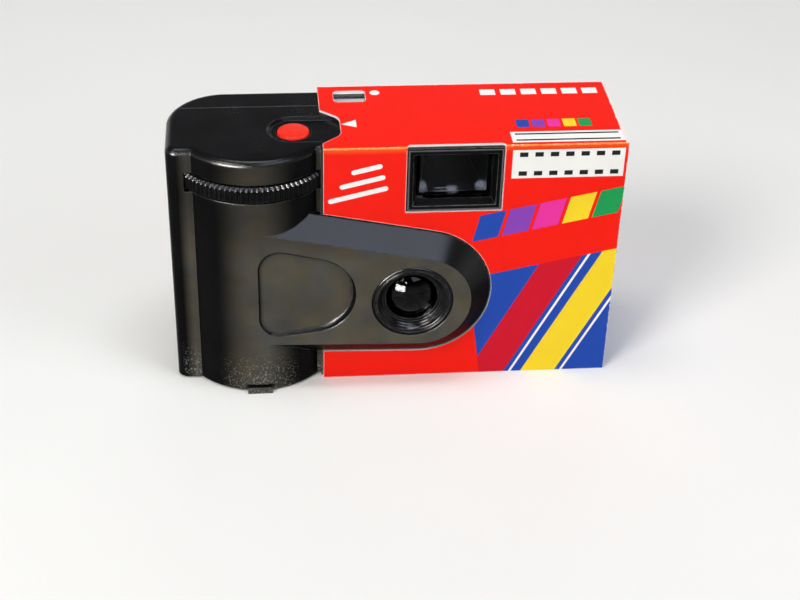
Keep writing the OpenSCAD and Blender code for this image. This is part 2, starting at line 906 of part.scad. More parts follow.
module chassis() {
    cone_wall = 1.2;
    color("slategray")
        difference() {
            union() {
                cartridge_chamber();
                supply_chamber();
                film_gate();
                shutter_board();
                top_deck();
                light_cone(cone_wall);
                translate([sprocket_x, sprocket_y, bearing_z])
                    cylinder(r = bearing_r, h = sprocket_z0 - gap - bearing_z);
            }
            light_cone(0);
            forward(gate_face + sheet, gate_t + over)
                translate([lens_x, lens_z])
                    square([gate_w, gate_h], center = true);
            pin_forward(lens_x, board_y + board_t + over, lens_z, throat_r, board_t + 2 * over);
            translate([sprocket_x, sprocket_y, sprocket_z0 - shaft_foot - gap])
                cylinder(r = shaft_r + run, h = overall_h);
            translate([sprocket_x, sprocket_y, sprocket_z0 - gap])
                cylinder(r = sprocket_r + tooth_h + gap, h = sprocket_t + 2 * gap);
        }
}

module lens_ring() {
    front = -boss_face;
    back = -ring_back;
    step = 0.35;
    groove = 0.3;
    color("black")
        translate([lens_x, 0, lens_z])
            rotate([90, 0, 0])
                rotate_extrude()
                    polygon([
                        [ring_r + step, back], [ring_r + step, front - wall], [ring_r, front - wall],
                        [ring_r, front - groove], [ring_r - groove, front], [ring_r - 2 * step, front],
                        [ring_r - 2 * step, front - groove], [ring_r - 3 * step, front - groove],
                        [ring_r - 3 * step, front], [ring_r - 4 * step, front],
                        [flange_r + step, front - wall], [flange_r + step, front - wall - step],
                        [flange_r - step, front - wall - step], [flange_r - step, back]
                    ]);
}

module lens() {
    front = -ring_back;
    color("lightcyan")
        translate([lens_x, 0, lens_z])
            rotate([90, 0, 0]) {
                translate([0, 0, front - flange_t])
                    cylinder(r = flange_r, h = flange_t);
                intersection() {
                    translate([0, 0, front - sheet])
                        cylinder(r = lens_r, h = lens_rise + over);
                    translate([0, 0, front + lens_rise - dome_r])
                        sphere(r = dome_r);
                }
            }
}

module aperture_plate() {
    stop_r = 1.6;
    color("gray")
        difference() {
            pin_forward(lens_x, lens_back + aperture_t, lens_z, flange_r, aperture_t);
            pin_forward(lens_x, lens_back + over, lens_z, stop_r, aperture_t + 2 * over);
        }
}

module lens_holder() {
    plate_r = 11;
    leg_r = 1.4;
    leg_ring = 10;
    leg_turns = [20, -30, -80];
    color("darkslategray")
        difference() {
            union() {
                pin_forward(lens_x, holder_y, lens_z, plate_r, holder_t);
                pin_forward(lens_x, holder_y, lens_z, holder_r, holder_y - ring_back);
                for (a = leg_turns)
                    pin_forward(lens_x + leg_ring * cos(a), board_y, lens_z + leg_ring * sin(a),
                                leg_r, board_y - holder_y + sheet);
            }
            pin_forward(lens_x, lens_back + aperture_t, lens_z, flange_r + run,
                        lens_back + aperture_t - ring_back + over);
            pin_forward(lens_x, holder_y + over, lens_z, throat_r + gap, overall_h);
        }
}

module viewfinder_lens() {
    color("lightcyan")
        forward(in_y0 + pane_t, pane_t)
            translate([view_x, view_z])
                square([view_w + 2 * pane_rim, view_h + 2 * pane_rim], center = true);
}

// Tapered tunnel between the viewfinder's two lenses, grown by its wall
module view_cone(grow) {
    hull() {
        forward(in_y0 + pane_t + sheet, sheet)
            translate([view_x, view_z])
                square([view_w - 2 * tunnel_wall + 2 * grow, view_h - 2 * tunnel_wall + 2 * grow],
                       center = true);
        forward(in_y1 - pane_t, sheet)
            translate([view_x, eyepiece_z])
                square([eyepiece_w - 2 * tunnel_wall + 2 * grow, eyepiece_h - 2 * tunnel_wall + 2 * grow],
                       center = true);
    }
}

module viewfinder_tunnel() {
    color("darkslategray")
        difference() {
            view_cone(tunnel_wall);
            view_cone(0);
        }
}

module eyepiece() {
    color("lightcyan") {
        forward(in_y1, pane_t)
            translate([view_x, eyepiece_z])
                square([eyepiece_w + 2 * pane_rim, eyepiece_h + 2 * pane_rim], center = true);
        forward(in_y1 + wall / 2, wall / 2 + sheet)
            translate([view_x, eyepiece_z])
                square([eyepiece_w - 2 * run, eyepiece_h - 2 * run], center = true);
    }
}

module counter_window() {
    top = body_z1 - window_sink;
    bottom = counter_z0 + counter_t + gap;
    color("lightcyan")
        difference() {
            box([window_x - window_w / 2 + run, window_y - window_d / 2 + run, bottom],
                [window_x + window_w / 2 - run, window_y + window_d / 2 - run, top]);
            box([window_x - window_w, in_y1 - run, bottom - over],
                [window_x + window_w, body_y1, in_z1]);
        }
}

module cartridge_shell() {
    lip_root = 4.5;
    root_x = grip_x + lip_root;
    z0 = cart_z0 + cap_t;
    z1 = cart_z1 - cap_t;
    color("goldenrod")
        difference() {
            union() {
                translate([grip_x, 0, z0])
                    cylinder(r = can_r, h = z1 - z0);
                box([root_x, lip_y - lip_half, cart_z0 + cap_h],
                    [lip_x1, lip_y + lip_half, cart_z1 - cap_h]);
            }
            translate([grip_x, 0, z0 - over])
                cylinder(r = can_r - can_t, h = z1 - z0 + 2 * over);
            box([root_x, lip_y - slit_half, film_z0 - gap],
                [lip_x1 + over, lip_y + slit_half, film_z1 + gap]);
        }
}

module cartridge_caps() {
    color("silver")
        for (end = [0, 1])
            translate([grip_x, 0, end ? cart_z1 : cart_z0])
                mirror([0, 0, end])
                    difference() {
                        cylinder(r = cart_r, h = cap_h);
                        translate([0, 0, cap_t])
                            cylinder(r = can_r, h = cap_h);
                        translate([0, 0, -over])
                            cylinder(r = spool_r + 2 * run, h = cap_h + over);
                    }
}

module light_trap_felt() {
    color("black")
        for (side = [-1, 1]) {
            inner = lip_y + side * (film_t / 2 + film_room);
            outer = inner + side * felt_t;
            box([lip_x1 - felt_l, min(inner, outer), film_z0 - gap],
                [lip_x1, max(inner, outer), film_z1 + gap]);
        }
}

module film_strip() {
    tail = 0.8;
    x0 = lip_x1 - felt_l - tail;
    x1 = supply_x;
    reach = sprocket_r + tooth_h;
    slot_half = sqrt(reach * reach - sprocket_r * sprocket_r) + gap;
    color("saddlebrown")
        forward(film_y + film_t, film_t)
            difference() {
                translate([x0, film_z0])
                    square([x1 - x0, film_w]);
                for (x = [x0 + perf_pitch / 2 : perf_pitch : x1 - perf_w])
                    for (z = [film_z0 + perf_margin, film_z1 - perf_margin - perf_h])
                        translate([x, z])
                            square([perf_w, perf_h]);
                translate([sprocket_x - slot_half, perf_z - perf_h / 2])
                    square([2 * slot_half, perf_h]);
            }
}

module thumbwheel() {
    rim = 2.4;
    web = 1.6;
    boss_wall = 1.8;
    fork_l = hub_h - 2 * gap;
    color("black")
        translate([grip_x, 0, 0])
            difference() {
                union() {
                    translate([0, 0, wheel_z0])
                        linear_extrude(wheel_h)
                            polygon([for (i = [0 : 2 * knurl_count - 1])
                                let (a = 180 * i / knurl_count, r = wheel_r - (i % 2) * knurl_depth)
                                    [r * cos(a), r * sin(a)]]);
                    translate([0, 0, wheel_z1 - sheet])
                        cylinder(r = axle_r, h = axle_l);
                    translate([0, 0, wheel_z0 - fork_l])
                        cylinder(r = fork_r, h = fork_l + sheet);
                }
                difference() {
                    translate([0, 0, wheel_z0 - sheet])
                        cylinder(r = wheel_r - rim, h = wheel_h - web);
                    translate([0, 0, wheel_z0 - over])
                        cylinder(r = collar_r + collar_wall + boss_wall, h = wheel_h + over);
                }
                box([-fork_r - over, -key_w / 2 - gap / 2, wheel_z0 - fork_l - over],
                    [fork_r + over, key_w / 2 + gap / 2, wheel_z0 - over]);
            }
}

module cartridge_spool() {
    socket_r = fork_r + 2 * gap;
    key_h = 2;
    socket_z = cart_z1 + spool_rise;
    color("black")
        translate([grip_x, 0, 0]) {
            difference() {
                translate([0, 0, cart_z0 + spool_rise])
                    cylinder(r = spool_r, h = hub_z1 - cart_z0 - spool_rise);
                translate([0, 0, socket_z])
                    cylinder(r = socket_r, h = hub_h + over);
                translate([0, 0, cart_z0])
                    cylinder(r = socket_r, h = hub_h);
            }
            box([-socket_r - sheet, -key_w / 2, socket_z - sheet],
                [socket_r + sheet, key_w / 2, socket_z + key_h]);
        }
}

module exposed_film() {
    color("saddlebrown")
        translate([grip_x, 0, film_z0])
            difference() {
                cylinder(r = wound_r, h = film_w);
                translate([0, 0, -over])
                    cylinder(r = spool_r, h = film_w + 2 * over);
            }
}

module sprocket() {
    tooth_root = 0.2;
    root_r = sprocket_r - tooth_root;
    tooth_w = 1.2;
    tooth_bevel = 0.1;
    phase = 0.25;
    color("white")
        translate([sprocket_x, sprocket_y, 0]) {
            translate([0, 0, sprocket_z0 - shaft_foot])
                cylinder(r = shaft_r, h = counter_z0 + counter_t - sprocket_z0 + shaft_foot);
            translate([0, 0, sprocket_z0])
                cylinder(r = root_r, h = sprocket_t);
            for (i = [0 : sprocket_teeth - 1])
                rotate([0, 0, 360 * (i + phase) / sprocket_teeth])
                    box([root_r - tooth_h, -tooth_w / 2, sprocket_z0 + tooth_bevel],
                        [sprocket_r + tooth_h, tooth_w / 2, sprocket_z0 + sprocket_t - tooth_bevel]);
            rotate([0, 0, 360 * phase / sprocket_teeth])
                box([shaft_r / 2, -tooth_w / 2, counter_z0],
                    [finger_r, tooth_w / 2, counter_z0 + counter_t - tooth_bevel]);
        }
}

module shutter_cam() {
    cam_r = 3.2;
    cam_t = 2.4;
    cam_z = deck_z1 - deck_t - gap - cam_t;
    notch = 1.2;
    color("khaki")
        translate([sprocket_x, sprocket_y, cam_z])
            difference() {
                cylinder(r = cam_r, h = cam_t);
                translate([0, 0, -over])
                    cylinder(r = shaft_r, h = cam_t + 2 * over);
                box([cam_r - notch, 0, -over], [cam_r + over, cam_r + over, cam_t + over]);
            }
}

module supply_spool() {
    z0 = film_z0 - supply_pin_h + gap;
    z1 = film_z1 + supply_pin_h - gap;
    bore = supply_pin_h + gap;
    color("black")
        translate([supply_x, supply_y, 0])
            difference() {
                translate([0, 0, z0])
                    cylinder(r = supply_r, h = z1 - z0);
                translate([0, 0, z0 - over])
                    cylinder(r = supply_pin_r + run, h = bore + over);
                translate([0, 0, z1 - bore])
                    cylinder(r = supply_pin_r + run, h = bore + over);
            }
}

module film_roll() {
    color("saddlebrown")
        translate([supply_x, supply_y, film_z0])
            difference() {
                cylinder(r = roll_r, h = film_w);
                translate([0, 0, -over])
                    cylinder(r = supply_r, h = film_w + 2 * over);
            }
}

module counter_disc() {
    tooth = 0.5;
    color("white")
        translate([counter_x, counter_y, counter_z0])
            difference() {
                linear_extrude(counter_t)
                    polygon([for (i = [0 : 2 * counter_teeth - 1])
                        let (a = 180 * i / counter_teeth, r = counter_r - (i % 2) * tooth)
                            [r * cos(a), r * sin(a)]]);
                translate([0, 0, -over])
                    cylinder(r = counter_pin_r + run, h = counter_t + 2 * over);
            }
}

module shutter_button() {
    brim = 0.6;
    brim_t = 0.5;
    stem_r = 1.5;
    rim = 0.5;
    dome = 0.3;
    floor_under = floor_z - floor_t;
    brim_z1 = floor_under - brim_room;
    stem_z0 = lever_z1 + gap;
    color("red")
        translate([button_x, button_y, 0])
            rotate_extrude()
                polygon([
                    [0, stem_z0], [stem_r, stem_z0], [stem_r, brim_z1 - brim_t],
                    [button_r + brim, brim_z1 - brim_t], [button_r + brim, brim_z1],
                    [button_r, brim_z1], [button_r, button_z1 - dome - rim],
                    [button_r - rim * (1 - cos(45)), button_z1 - dome - rim * (1 - sin(45))],
                    [button_r - rim, button_z1 - dome], [button_r / 2, button_z1 - dome / 4],
                    [0, button_z1]
                ]);
}

module release_lever() {
    pad_r = 2;
    arm = 1;
    bar_w = 1.8;
    bar_y0 = lever_y - bar_w / 2;
    bar_y1 = lever_y + bar_w / 2;
    knee = 3.2;
    knee_x = lever_x - knee;
    hook_w = 1.2;
    end_x = hammer_x + hook_w;
    color("dimgray")
        difference() {
            union() {
                translate([0, 0, lever_z0])
                    linear_extrude(lever_t) {
                        translate([button_x, button_y])
                            circle(pad_r);
                        polygon([
                            [button_x - arm / 2, button_y - arm], [knee_x, bar_y0], [end_x, bar_y0],
                            [end_x, bar_y1], [knee_x, bar_y1], [button_x + arm, button_y + arm]
                        ]);
                    }
                pin_forward(lever_x, bar_y1, lever_pin_z, lever_hub_r, bar_w);
                box([end_x - hook_w, bar_y0, lever_z0 - lever_hook], [end_x, bar_y1, lever_z0 + sheet]);
            }
            pin_forward(lever_x, bar_y1 + over, lever_pin_z, lever_pin_r + run, bar_w + 2 * over);
        }
}

module shutter_hammer() {
    hub_r = 2.3;
    arm_w = 1.4;
    strike_r = 0.7;
    finger_dx = 0.5;
    finger_x = hammer_x + finger_dx;
    finger_z = lever_z0 - lever_hook - gap;
    strike_room = 0.05;
    color("khaki")
        difference() {
            union() {
                pin_forward(hammer_x, hammer_y, hammer_z, hub_r, swing_t);
                forward(hammer_y, swing_t)
                    polygon([
                        [hammer_x - arm_w, hammer_z], [strike_x - strike_r, strike_z - strike_r],
                        [strike_x + strike_r, strike_z - strike_r], [hammer_x + arm_w, hammer_z],
                        [finger_x + arm_w, finger_z], [finger_x, finger_z]
                    ]);
                pin_forward(strike_x, blade_y - strike_room, strike_z, strike_r, blade_y - hammer_y);
            }
            pin_forward(hammer_x, hammer_y + over, hammer_z, hammer_pin_r + run, swing_t + 2 * over);
        }
}

module hammer_spring() {
    wire = 0.3;
    leg = 6;
    coil_r = hammer_pin_r + coil_room;
    y = hammer_y - swing_t - spring_room;
    color("silver") {
        difference() {
            pin_forward(hammer_x, y, hammer_z, coil_r + wire, wire);
            pin_forward(hammer_x, y + over, hammer_z, coil_r, wire + 2 * over);
        }
        box([hammer_x + coil_r, y - wire, hammer_z - leg], [hammer_x + coil_r + wire, y, hammer_z]);
        box([hammer_x - leg, y - wire, hammer_z + coil_r], [hammer_x, y, hammer_z + coil_r + wire]);
    }
}

module shutter_blade() {
    eye_lap = 0.6;
    eye_r = throat_r + eye_lap;
    hub_r = 2;
    arm_w = 1.4;
    tab_w = 1.2;
    tab_l = 4.8;
    color("gray")
        forward(blade_y, blade_t)
            difference() {
                union() {
                    translate([lens_x, lens_z])
                        circle(eye_r);
                    translate([blade_x, blade_z])
                        circle(hub_r);
                    polygon([
                        [blade_x - arm_w, blade_z - arm_w], [lens_x - arm_w, lens_z - arm_w],
                        [lens_x + arm_w, lens_z + arm_w], [blade_x + arm_w, blade_z + arm_w]
                    ]);
                    translate([blade_x - tab_w / 2, blade_z])
                        square([tab_w, tab_l]);
                }
                translate([blade_x, blade_z])
                    circle(blade_pin_r + run);
            }
}

module blade_spring() {
    wire = 0.25;
    leg = 4;
    coil_r = blade_pin_r + coil_room;
    y = blade_y - blade_t - spring_room;
    color("silver") {
        difference() {
            pin_forward(blade_x, y, blade_z, coil_r + wire, wire);
            pin_forward(blade_x, y + over, blade_z, coil_r, wire + 2 * over);
        }
        box([blade_x, y - wire, blade_z + coil_r], [blade_x + leg, y, blade_z + coil_r + wire]);
        box([blade_x - leg, y - wire, blade_z - coil_r - wire], [blade_x, y, blade_z - coil_r]);
    }
}

module film_door() {
    color("dimgray") {
        translate([0, 0, body_z0])
            linear_extrude(door_t)
                door_plan(0);
        box([grip_x - lug_w / 2, lug_y, 0], [grip_x + lug_w / 2, -door_r + over, body_z0 + door_t]);
        hinge_axis(hinge_r, hinge_half - gap);
        hinge_axis(hinge_pin_r, hinge_half + hinge_pin_l);
    }
}

carton_sleeve();
front_cover();
back_cover();
chassis();
lens_ring();
lens();
aperture_plate();
lens_holder();
viewfinder_lens();
viewfinder_tunnel();
eyepiece();
counter_window();
cartridge_shell();
cartridge_caps();
light_trap_felt();
film_strip();
thumbwheel();
cartridge_spool();
exposed_film();
sprocket();
shutter_cam();
supply_spool();
film_roll();
counter_disc();
shutter_button();
release_lever();
shutter_hammer();
hammer_spring();
shutter_blade();
blade_spring();
film_door();
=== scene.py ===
# %% [markdown]
# A disposable film camera: a black moulded body, half wrapped in a printed carton sleeve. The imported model
# gives every piece its place and its motion, and this script gives the pieces their looks. It is a lesson in
# cells: each step says what the piece is on the real camera, and why it is made the way it is here.

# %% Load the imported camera
import json
import math

import bmesh
import bpy
import numpy as np
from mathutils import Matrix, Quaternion, Vector

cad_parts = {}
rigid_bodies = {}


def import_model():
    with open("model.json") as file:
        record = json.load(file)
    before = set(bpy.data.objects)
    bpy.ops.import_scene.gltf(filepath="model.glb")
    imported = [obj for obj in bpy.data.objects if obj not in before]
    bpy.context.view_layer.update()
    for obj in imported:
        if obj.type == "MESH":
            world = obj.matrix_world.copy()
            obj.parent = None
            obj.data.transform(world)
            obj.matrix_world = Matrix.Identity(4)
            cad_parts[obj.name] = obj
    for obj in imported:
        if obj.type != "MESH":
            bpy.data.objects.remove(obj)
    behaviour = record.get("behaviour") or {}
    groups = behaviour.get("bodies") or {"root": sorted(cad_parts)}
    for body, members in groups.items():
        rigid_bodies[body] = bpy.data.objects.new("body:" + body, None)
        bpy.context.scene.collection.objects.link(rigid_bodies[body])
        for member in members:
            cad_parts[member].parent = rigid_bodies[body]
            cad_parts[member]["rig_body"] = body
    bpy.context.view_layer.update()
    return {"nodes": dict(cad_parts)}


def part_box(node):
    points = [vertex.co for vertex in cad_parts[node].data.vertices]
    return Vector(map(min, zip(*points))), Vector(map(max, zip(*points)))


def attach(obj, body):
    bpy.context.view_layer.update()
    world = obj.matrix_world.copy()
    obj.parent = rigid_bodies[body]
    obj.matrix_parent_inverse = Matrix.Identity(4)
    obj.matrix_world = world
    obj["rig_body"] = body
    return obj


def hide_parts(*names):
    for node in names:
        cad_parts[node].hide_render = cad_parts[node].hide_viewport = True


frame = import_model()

nodes = frame["nodes"]
MM = 0.001


def span(node):
    """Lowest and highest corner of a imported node, in millimetres."""
    low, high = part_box(node)
    return np.array(low) / MM, np.array(high) / MM


print("pieces in the frame:", len(nodes))

# %% [markdown]
# A finish is a small tree of shader nodes. Wiring nodes one by one hides the idea behind them, so one class
# wraps a socket and turns plain arithmetic into Math nodes: `1 - mask` or `x * 0.5 + y` is then all that has
# to be written. A second class holds the material, makes any other node, and feeds the surface shader.


# %% Arithmetic on sockets
class Sock:
    """A value that runs along a shader link; every operator adds one Math node."""

    def __init__(self, finish, socket):
        self.finish, self.socket = finish, socket

    def math(self, operation, *values):
        return self.finish.node("Math", {"operation": operation}, dict(enumerate(values)))

    def __add__(self, other):
        return self.math("ADD", self, other)

    def __sub__(self, other):
        return self.math("SUBTRACT", self, other)

    def __rsub__(self, other):
        return self.math("SUBTRACT", other, self)

    def __mul__(self, other):
        return self.math("MULTIPLY", self, other)

    def __truediv__(self, other):
        return self.math("DIVIDE", self, other)

    def __rtruediv__(self, other):
        return self.math("DIVIDE", other, self)

    def __mod__(self, other):
        return self.math("FLOORED_MODULO", self, other)

    def __lt__(self, other):
        return self.math("LESS_THAN", self, other)

    def __gt__(self, other):
        return self.math("GREATER_THAN", self, other)

    def __or__(self, other):
        return self.math("MAXIMUM", self, other)

    def __and__(self, other):
        return self.math("MINIMUM", self, other)

    def __abs__(self):
        return self.math("ABSOLUTE", self)

    __radd__, __rmul__ = __add__, __mul__


# %% Trees of shader nodes
class Tree:
    """A tree of shader nodes, of a material or of the world: `node` adds any node."""

    def __init__(self, tree):
        self.tree = tree

    def node(self, kind, settings=None, sockets=None, out=0):
        made = self.tree.nodes.new("ShaderNode" + kind)
        for key, value in (settings or {}).items():
            if key == "stops":
                ramp = made.color_ramp.elements
                while len(ramp) < len(value):
                    ramp.new(1)
                for stop, (position, colour) in zip(ramp, value):
                    stop.position, stop.color = position, (*colour, 1)
            elif key == "interpolation" and kind == "ValToRGB":
                made.color_ramp.interpolation = value
            else:
                setattr(made, key, value)
        for key, value in (sockets or {}).items():
            self.feed(made.inputs[key], value)
        return Sock(self, made.outputs[out])

    def feed(self, socket, value):
        if isinstance(value, Sock):
            self.tree.links.new(value.socket, socket)
        elif socket.type == "RGBA":
            socket.default_value = (*value, 1)
        else:
            socket.default_value = value

    def mix(self, under, over, mask):
        return self.node("Mix", {"data_type": "RGBA"}, {0: mask, 6: under, 7: over}, 2)

    def spread(self, value, low, high):
        """The value, stretched so that low becomes 0 and high becomes 1, and clamped."""
        return self.node("MapRange", {}, {"Value": value, "From Min": low, "From Max": high})

    def seen(self):
        """1 where the eye, a mirror or a pane looks, and 0 for light that falls on dull surfaces."""
        rays = ("Camera", "Glossy", "Transmission")
        eye, mirror, glass = (self.node("LightPath", out=f"Is {ray} Ray") for ray in rays)
        return eye | mirror | glass


# %% A material under construction
class Finish(Tree):
    """One material, laid out by the place on the piece in millimetres; `wear` feeds the surface shader."""

    def __init__(self, name, **constants):
        self.material = bpy.data.materials.new(name)
        self.material.use_nodes = True
        super().__init__(self.material.node_tree)
        self.shaders = [self.tree.nodes["Principled BSDF"]]
        self.wear(**constants)
        place = self.node("TexCoord", out="Object")
        self.place = self.node("VectorMath", {"operation": "SCALE"}, {0: place, "Scale": 1 / MM})
        self.x, self.y, self.z = (self.node("SeparateXYZ", {}, {0: self.place}, axis) for axis in "XYZ")

    def noise(self, grain, detail=2, rough=0.5):
        """Cloudy values round 0.5, with a grain of so many millimetres."""
        return self.node("TexNoise", {}, {"Vector": self.place, "Scale": 1 / grain, "Detail": detail,
                                          "Roughness": rough})

    def soft_edge(self, radius):
        """The surface normal with its edges rounded over a radius in millimetres."""
        return self.node("Bevel", {"samples": 4}, {"Radius": radius * MM})

    def edges(self, radius):
        """1 on sharp edges and 0 away from them: where the rounded normal leaves the true one."""
        true = self.node("NewGeometry", out="Normal")
        pair = {0: self.soft_edge(radius), 1: true}
        meet = self.node("VectorMath", {"operation": "DOT_PRODUCT"}, pair, "Value")
        return self.spread(1 - meet, 0.015, 0.12)

    def bump(self, height, depth, normal=None):
        """A normal pushed about by a height, where 1 stands so many millimetres proud."""
        sockets = {"Height": height, "Distance": depth * MM, "Strength": 1}
        return self.node("Bump", {}, {**sockets, "Normal": normal} if normal else sockets)

    def polished(self, mask, **constants):
        """A second surface shader, with its own constants, that takes over where the mask is 1."""
        second = self.node("BsdfPrincipled", {}, {key.replace("_", " "): v for key, v in constants.items()})
        first = Sock(self, self.shaders[0].outputs[0])
        self.shaders.append(second.socket.node)
        both = self.node("MixShader", {}, {0: mask, 1: first, 2: second})
        self.feed(self.tree.nodes["Material Output"].inputs["Surface"], both)

    def wear(self, **inputs):
        """Feeds every surface shader of the material, and hands the material back."""
        for shader in self.shaders:
            for socket, value in inputs.items():
                self.feed(shader.inputs[socket.replace("_", " ")], value)
        return self.material


# %% [markdown]
# Two kinds of mesh are needed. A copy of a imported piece, where its shape is already right but its flat
# triangles would show: the copy is welded, smoothed below a limit angle and given normals that favour the
# large faces, as a moulded part has. And a new surface from a grid of points, for everything turned or round.


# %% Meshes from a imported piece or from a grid
def show(name, mesh, node, finish, sharp=32):
    """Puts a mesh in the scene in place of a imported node, riding on that node's body."""
    piece = bpy.data.objects.new(name, mesh)
    bpy.context.scene.collection.objects.link(piece)
    mesh.shade_smooth()
    mesh.set_sharp_from_angle(angle=math.radians(sharp))
    even = piece.modifiers.new("even normals", "WEIGHTED_NORMAL")
    even.keep_sharp = True
    if finish:
        mesh.materials.append(finish)
    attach(piece, nodes[node]["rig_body"])
    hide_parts(node)
    print(name, "has", len(mesh.polygons), "faces")
    return piece


def weld(mesh, turn_out=False):
    """Merges points that lie on each other; a new surface is also turned to face outwards."""
    shell = bmesh.new()
    shell.from_mesh(mesh)
    bmesh.ops.remove_doubles(shell, verts=shell.verts, dist=2e-6)
    bmesh.ops.dissolve_degenerate(shell, edges=shell.edges, dist=1e-7)
    if turn_out:
        bmesh.ops.recalc_face_normals(shell, faces=shell.faces)
    shell.to_mesh(mesh)
    shell.free()
    return mesh


def welded_copy(node, name):
    """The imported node's triangles as a new mesh with shared points."""
    source = nodes[node].data
    points = np.empty(3 * len(source.vertices), np.float32)
    corners = np.empty(len(source.loops), np.int32)
    source.vertices.foreach_get("co", points)
    source.loops.foreach_get("vertex_index", corners)
    mesh = bpy.data.meshes.new(name)
    mesh.from_pydata(points.reshape(-1, 3).tolist(), [], corners.reshape(-1, 3).tolist())
    return weld(mesh)


def skin(name, grid):
    """Quads between neighbours on a grid of points (rows, columns, 3) whose columns close on themselves."""
    rows, columns = grid.shape[:2]
    here = np.arange(rows * columns).reshape(rows, columns)
    beside = np.roll(here, -1, axis=1)
    quads = np.stack([here[:-1], beside[:-1], beside[1:], here[1:]], axis=-1).reshape(-1, 4)
    mesh = bpy.data.meshes.new(name)
    mesh.from_pydata((grid.reshape(-1, 3) * MM).tolist(), [], quads.tolist())
    return weld(mesh, turn_out=True)


def eased(corners, radius, steps=5):
    """A profile whose inner corners become short curves: each is a blend of the point before it, the corner
    and the point after it, weighted (1-t)^2, 2t(1-t) and t^2."""
    corners = np.array(corners, float)
    before, corner, after = corners[:-2], corners[1:-1], corners[2:]
    radius = np.broadcast_to(radius, len(corner))[:, None]

    def towards(other):
        away = other - corner
        length = np.linalg.norm(away, axis=1, keepdims=True)
        return corner + away / length * np.minimum(radius, 0.45 * length)

    t = np.linspace(0, 1, steps)[None, :, None]
    curve = ((1 - t) ** 2 * towards(before)[:, None] + 2 * t * (1 - t) * corner[:, None]
             + t ** 2 * towards(after)[:, None])
    return np.vstack([corners[:1], curve.reshape(-1, 2), corners[-1:]])


def turned(profile, centre, along, across, columns):
    """A profile of (radius, height) carried round an axis: centre + height * along
    + radius * (cos a * across + sin a * the third direction)."""
    along, across = np.array(along, float), np.array(across, float)
    angle = np.linspace(0, 2 * np.pi, columns, endpoint=False)[None, :, None]
    round_it = np.cos(angle) * across + np.sin(angle) * np.cross(along, across)
    radius, height = profile[:, 0, None, None], profile[:, 1, None, None]
    return np.array(centre, float) + height * along + radius * round_it


# %% [markdown]
# The body is black plastic with a fine sand texture: almost black, with a painted grey sheen on the faces that
# look ahead and, weaker, back, painted glints low on its front, and pale lines along its edges that are partly
# rubbed wear and partly painted highlight. One shader could do it, but the upright faces would mirror the pale
# floor. So two shaders share the colour: faces that look up keep a gloss, and the others have next to none.
# The sand is a bump from fine noise, and the edge lines come from comparing the rounded normal with the true
# one. The viewfinder's bezel gets a fine step in the same way, a bump with a painted highlight line, and the
# wall behind the frame counter is white and glows weakly, a painted light for what a clear window lets in.

# %% Places and tints on the body
low, high = span("viewfinder_lens")
PANE_LAP = 0.7
FINDER_X, FINDER_HALF_W = (low[0] + high[0]) / 2, (high[0] - low[0]) / 2 - PANE_LAP
FINDER_Z, FINDER_HALF_H = (low[2] + high[2]) / 2, (high[2] - low[2]) / 2 - PANE_LAP
BEZEL_W, BEZEL_STEP, STEP_DEPTH = 3.0, 1.75, 0.15
REAR = span("back_cover")[1][1] - 0.5
low, high = span("counter_window")
WALL_X, WALL_HALF_W, WALL_Y, WALL_FOOT = (low[0] + high[0]) / 2, 6, high[1] - 0.6, low[2] - 6
# Where the painted sheen and the painted glints lie, and their tints; the counter wall's white and glow.
GRIP_LEFT, GRIP_SHEEN_FULL, SHEEN_TOP, SHEEN_FULL = -46.8, -44.8, 46, 34
GLINT_TOP, GLINT_FULL = 11, 2
SHEEN_GREY, SHEEN_WARM = (0.078, 0.077, 0.07), (0.096, 0.083, 0.058)
GLINT_GREY, WALL_WHITE, WALL_GLOW = (0.26, 0.25, 0.22), (0.85, 0.85, 0.83), (0.32, 0.32, 0.31)
BLACK = (0.0, 0.0, 0.0)
print("viewfinder opening in mm:", round(2 * FINDER_HALF_W, 2), "by", round(2 * FINDER_HALF_H, 2))


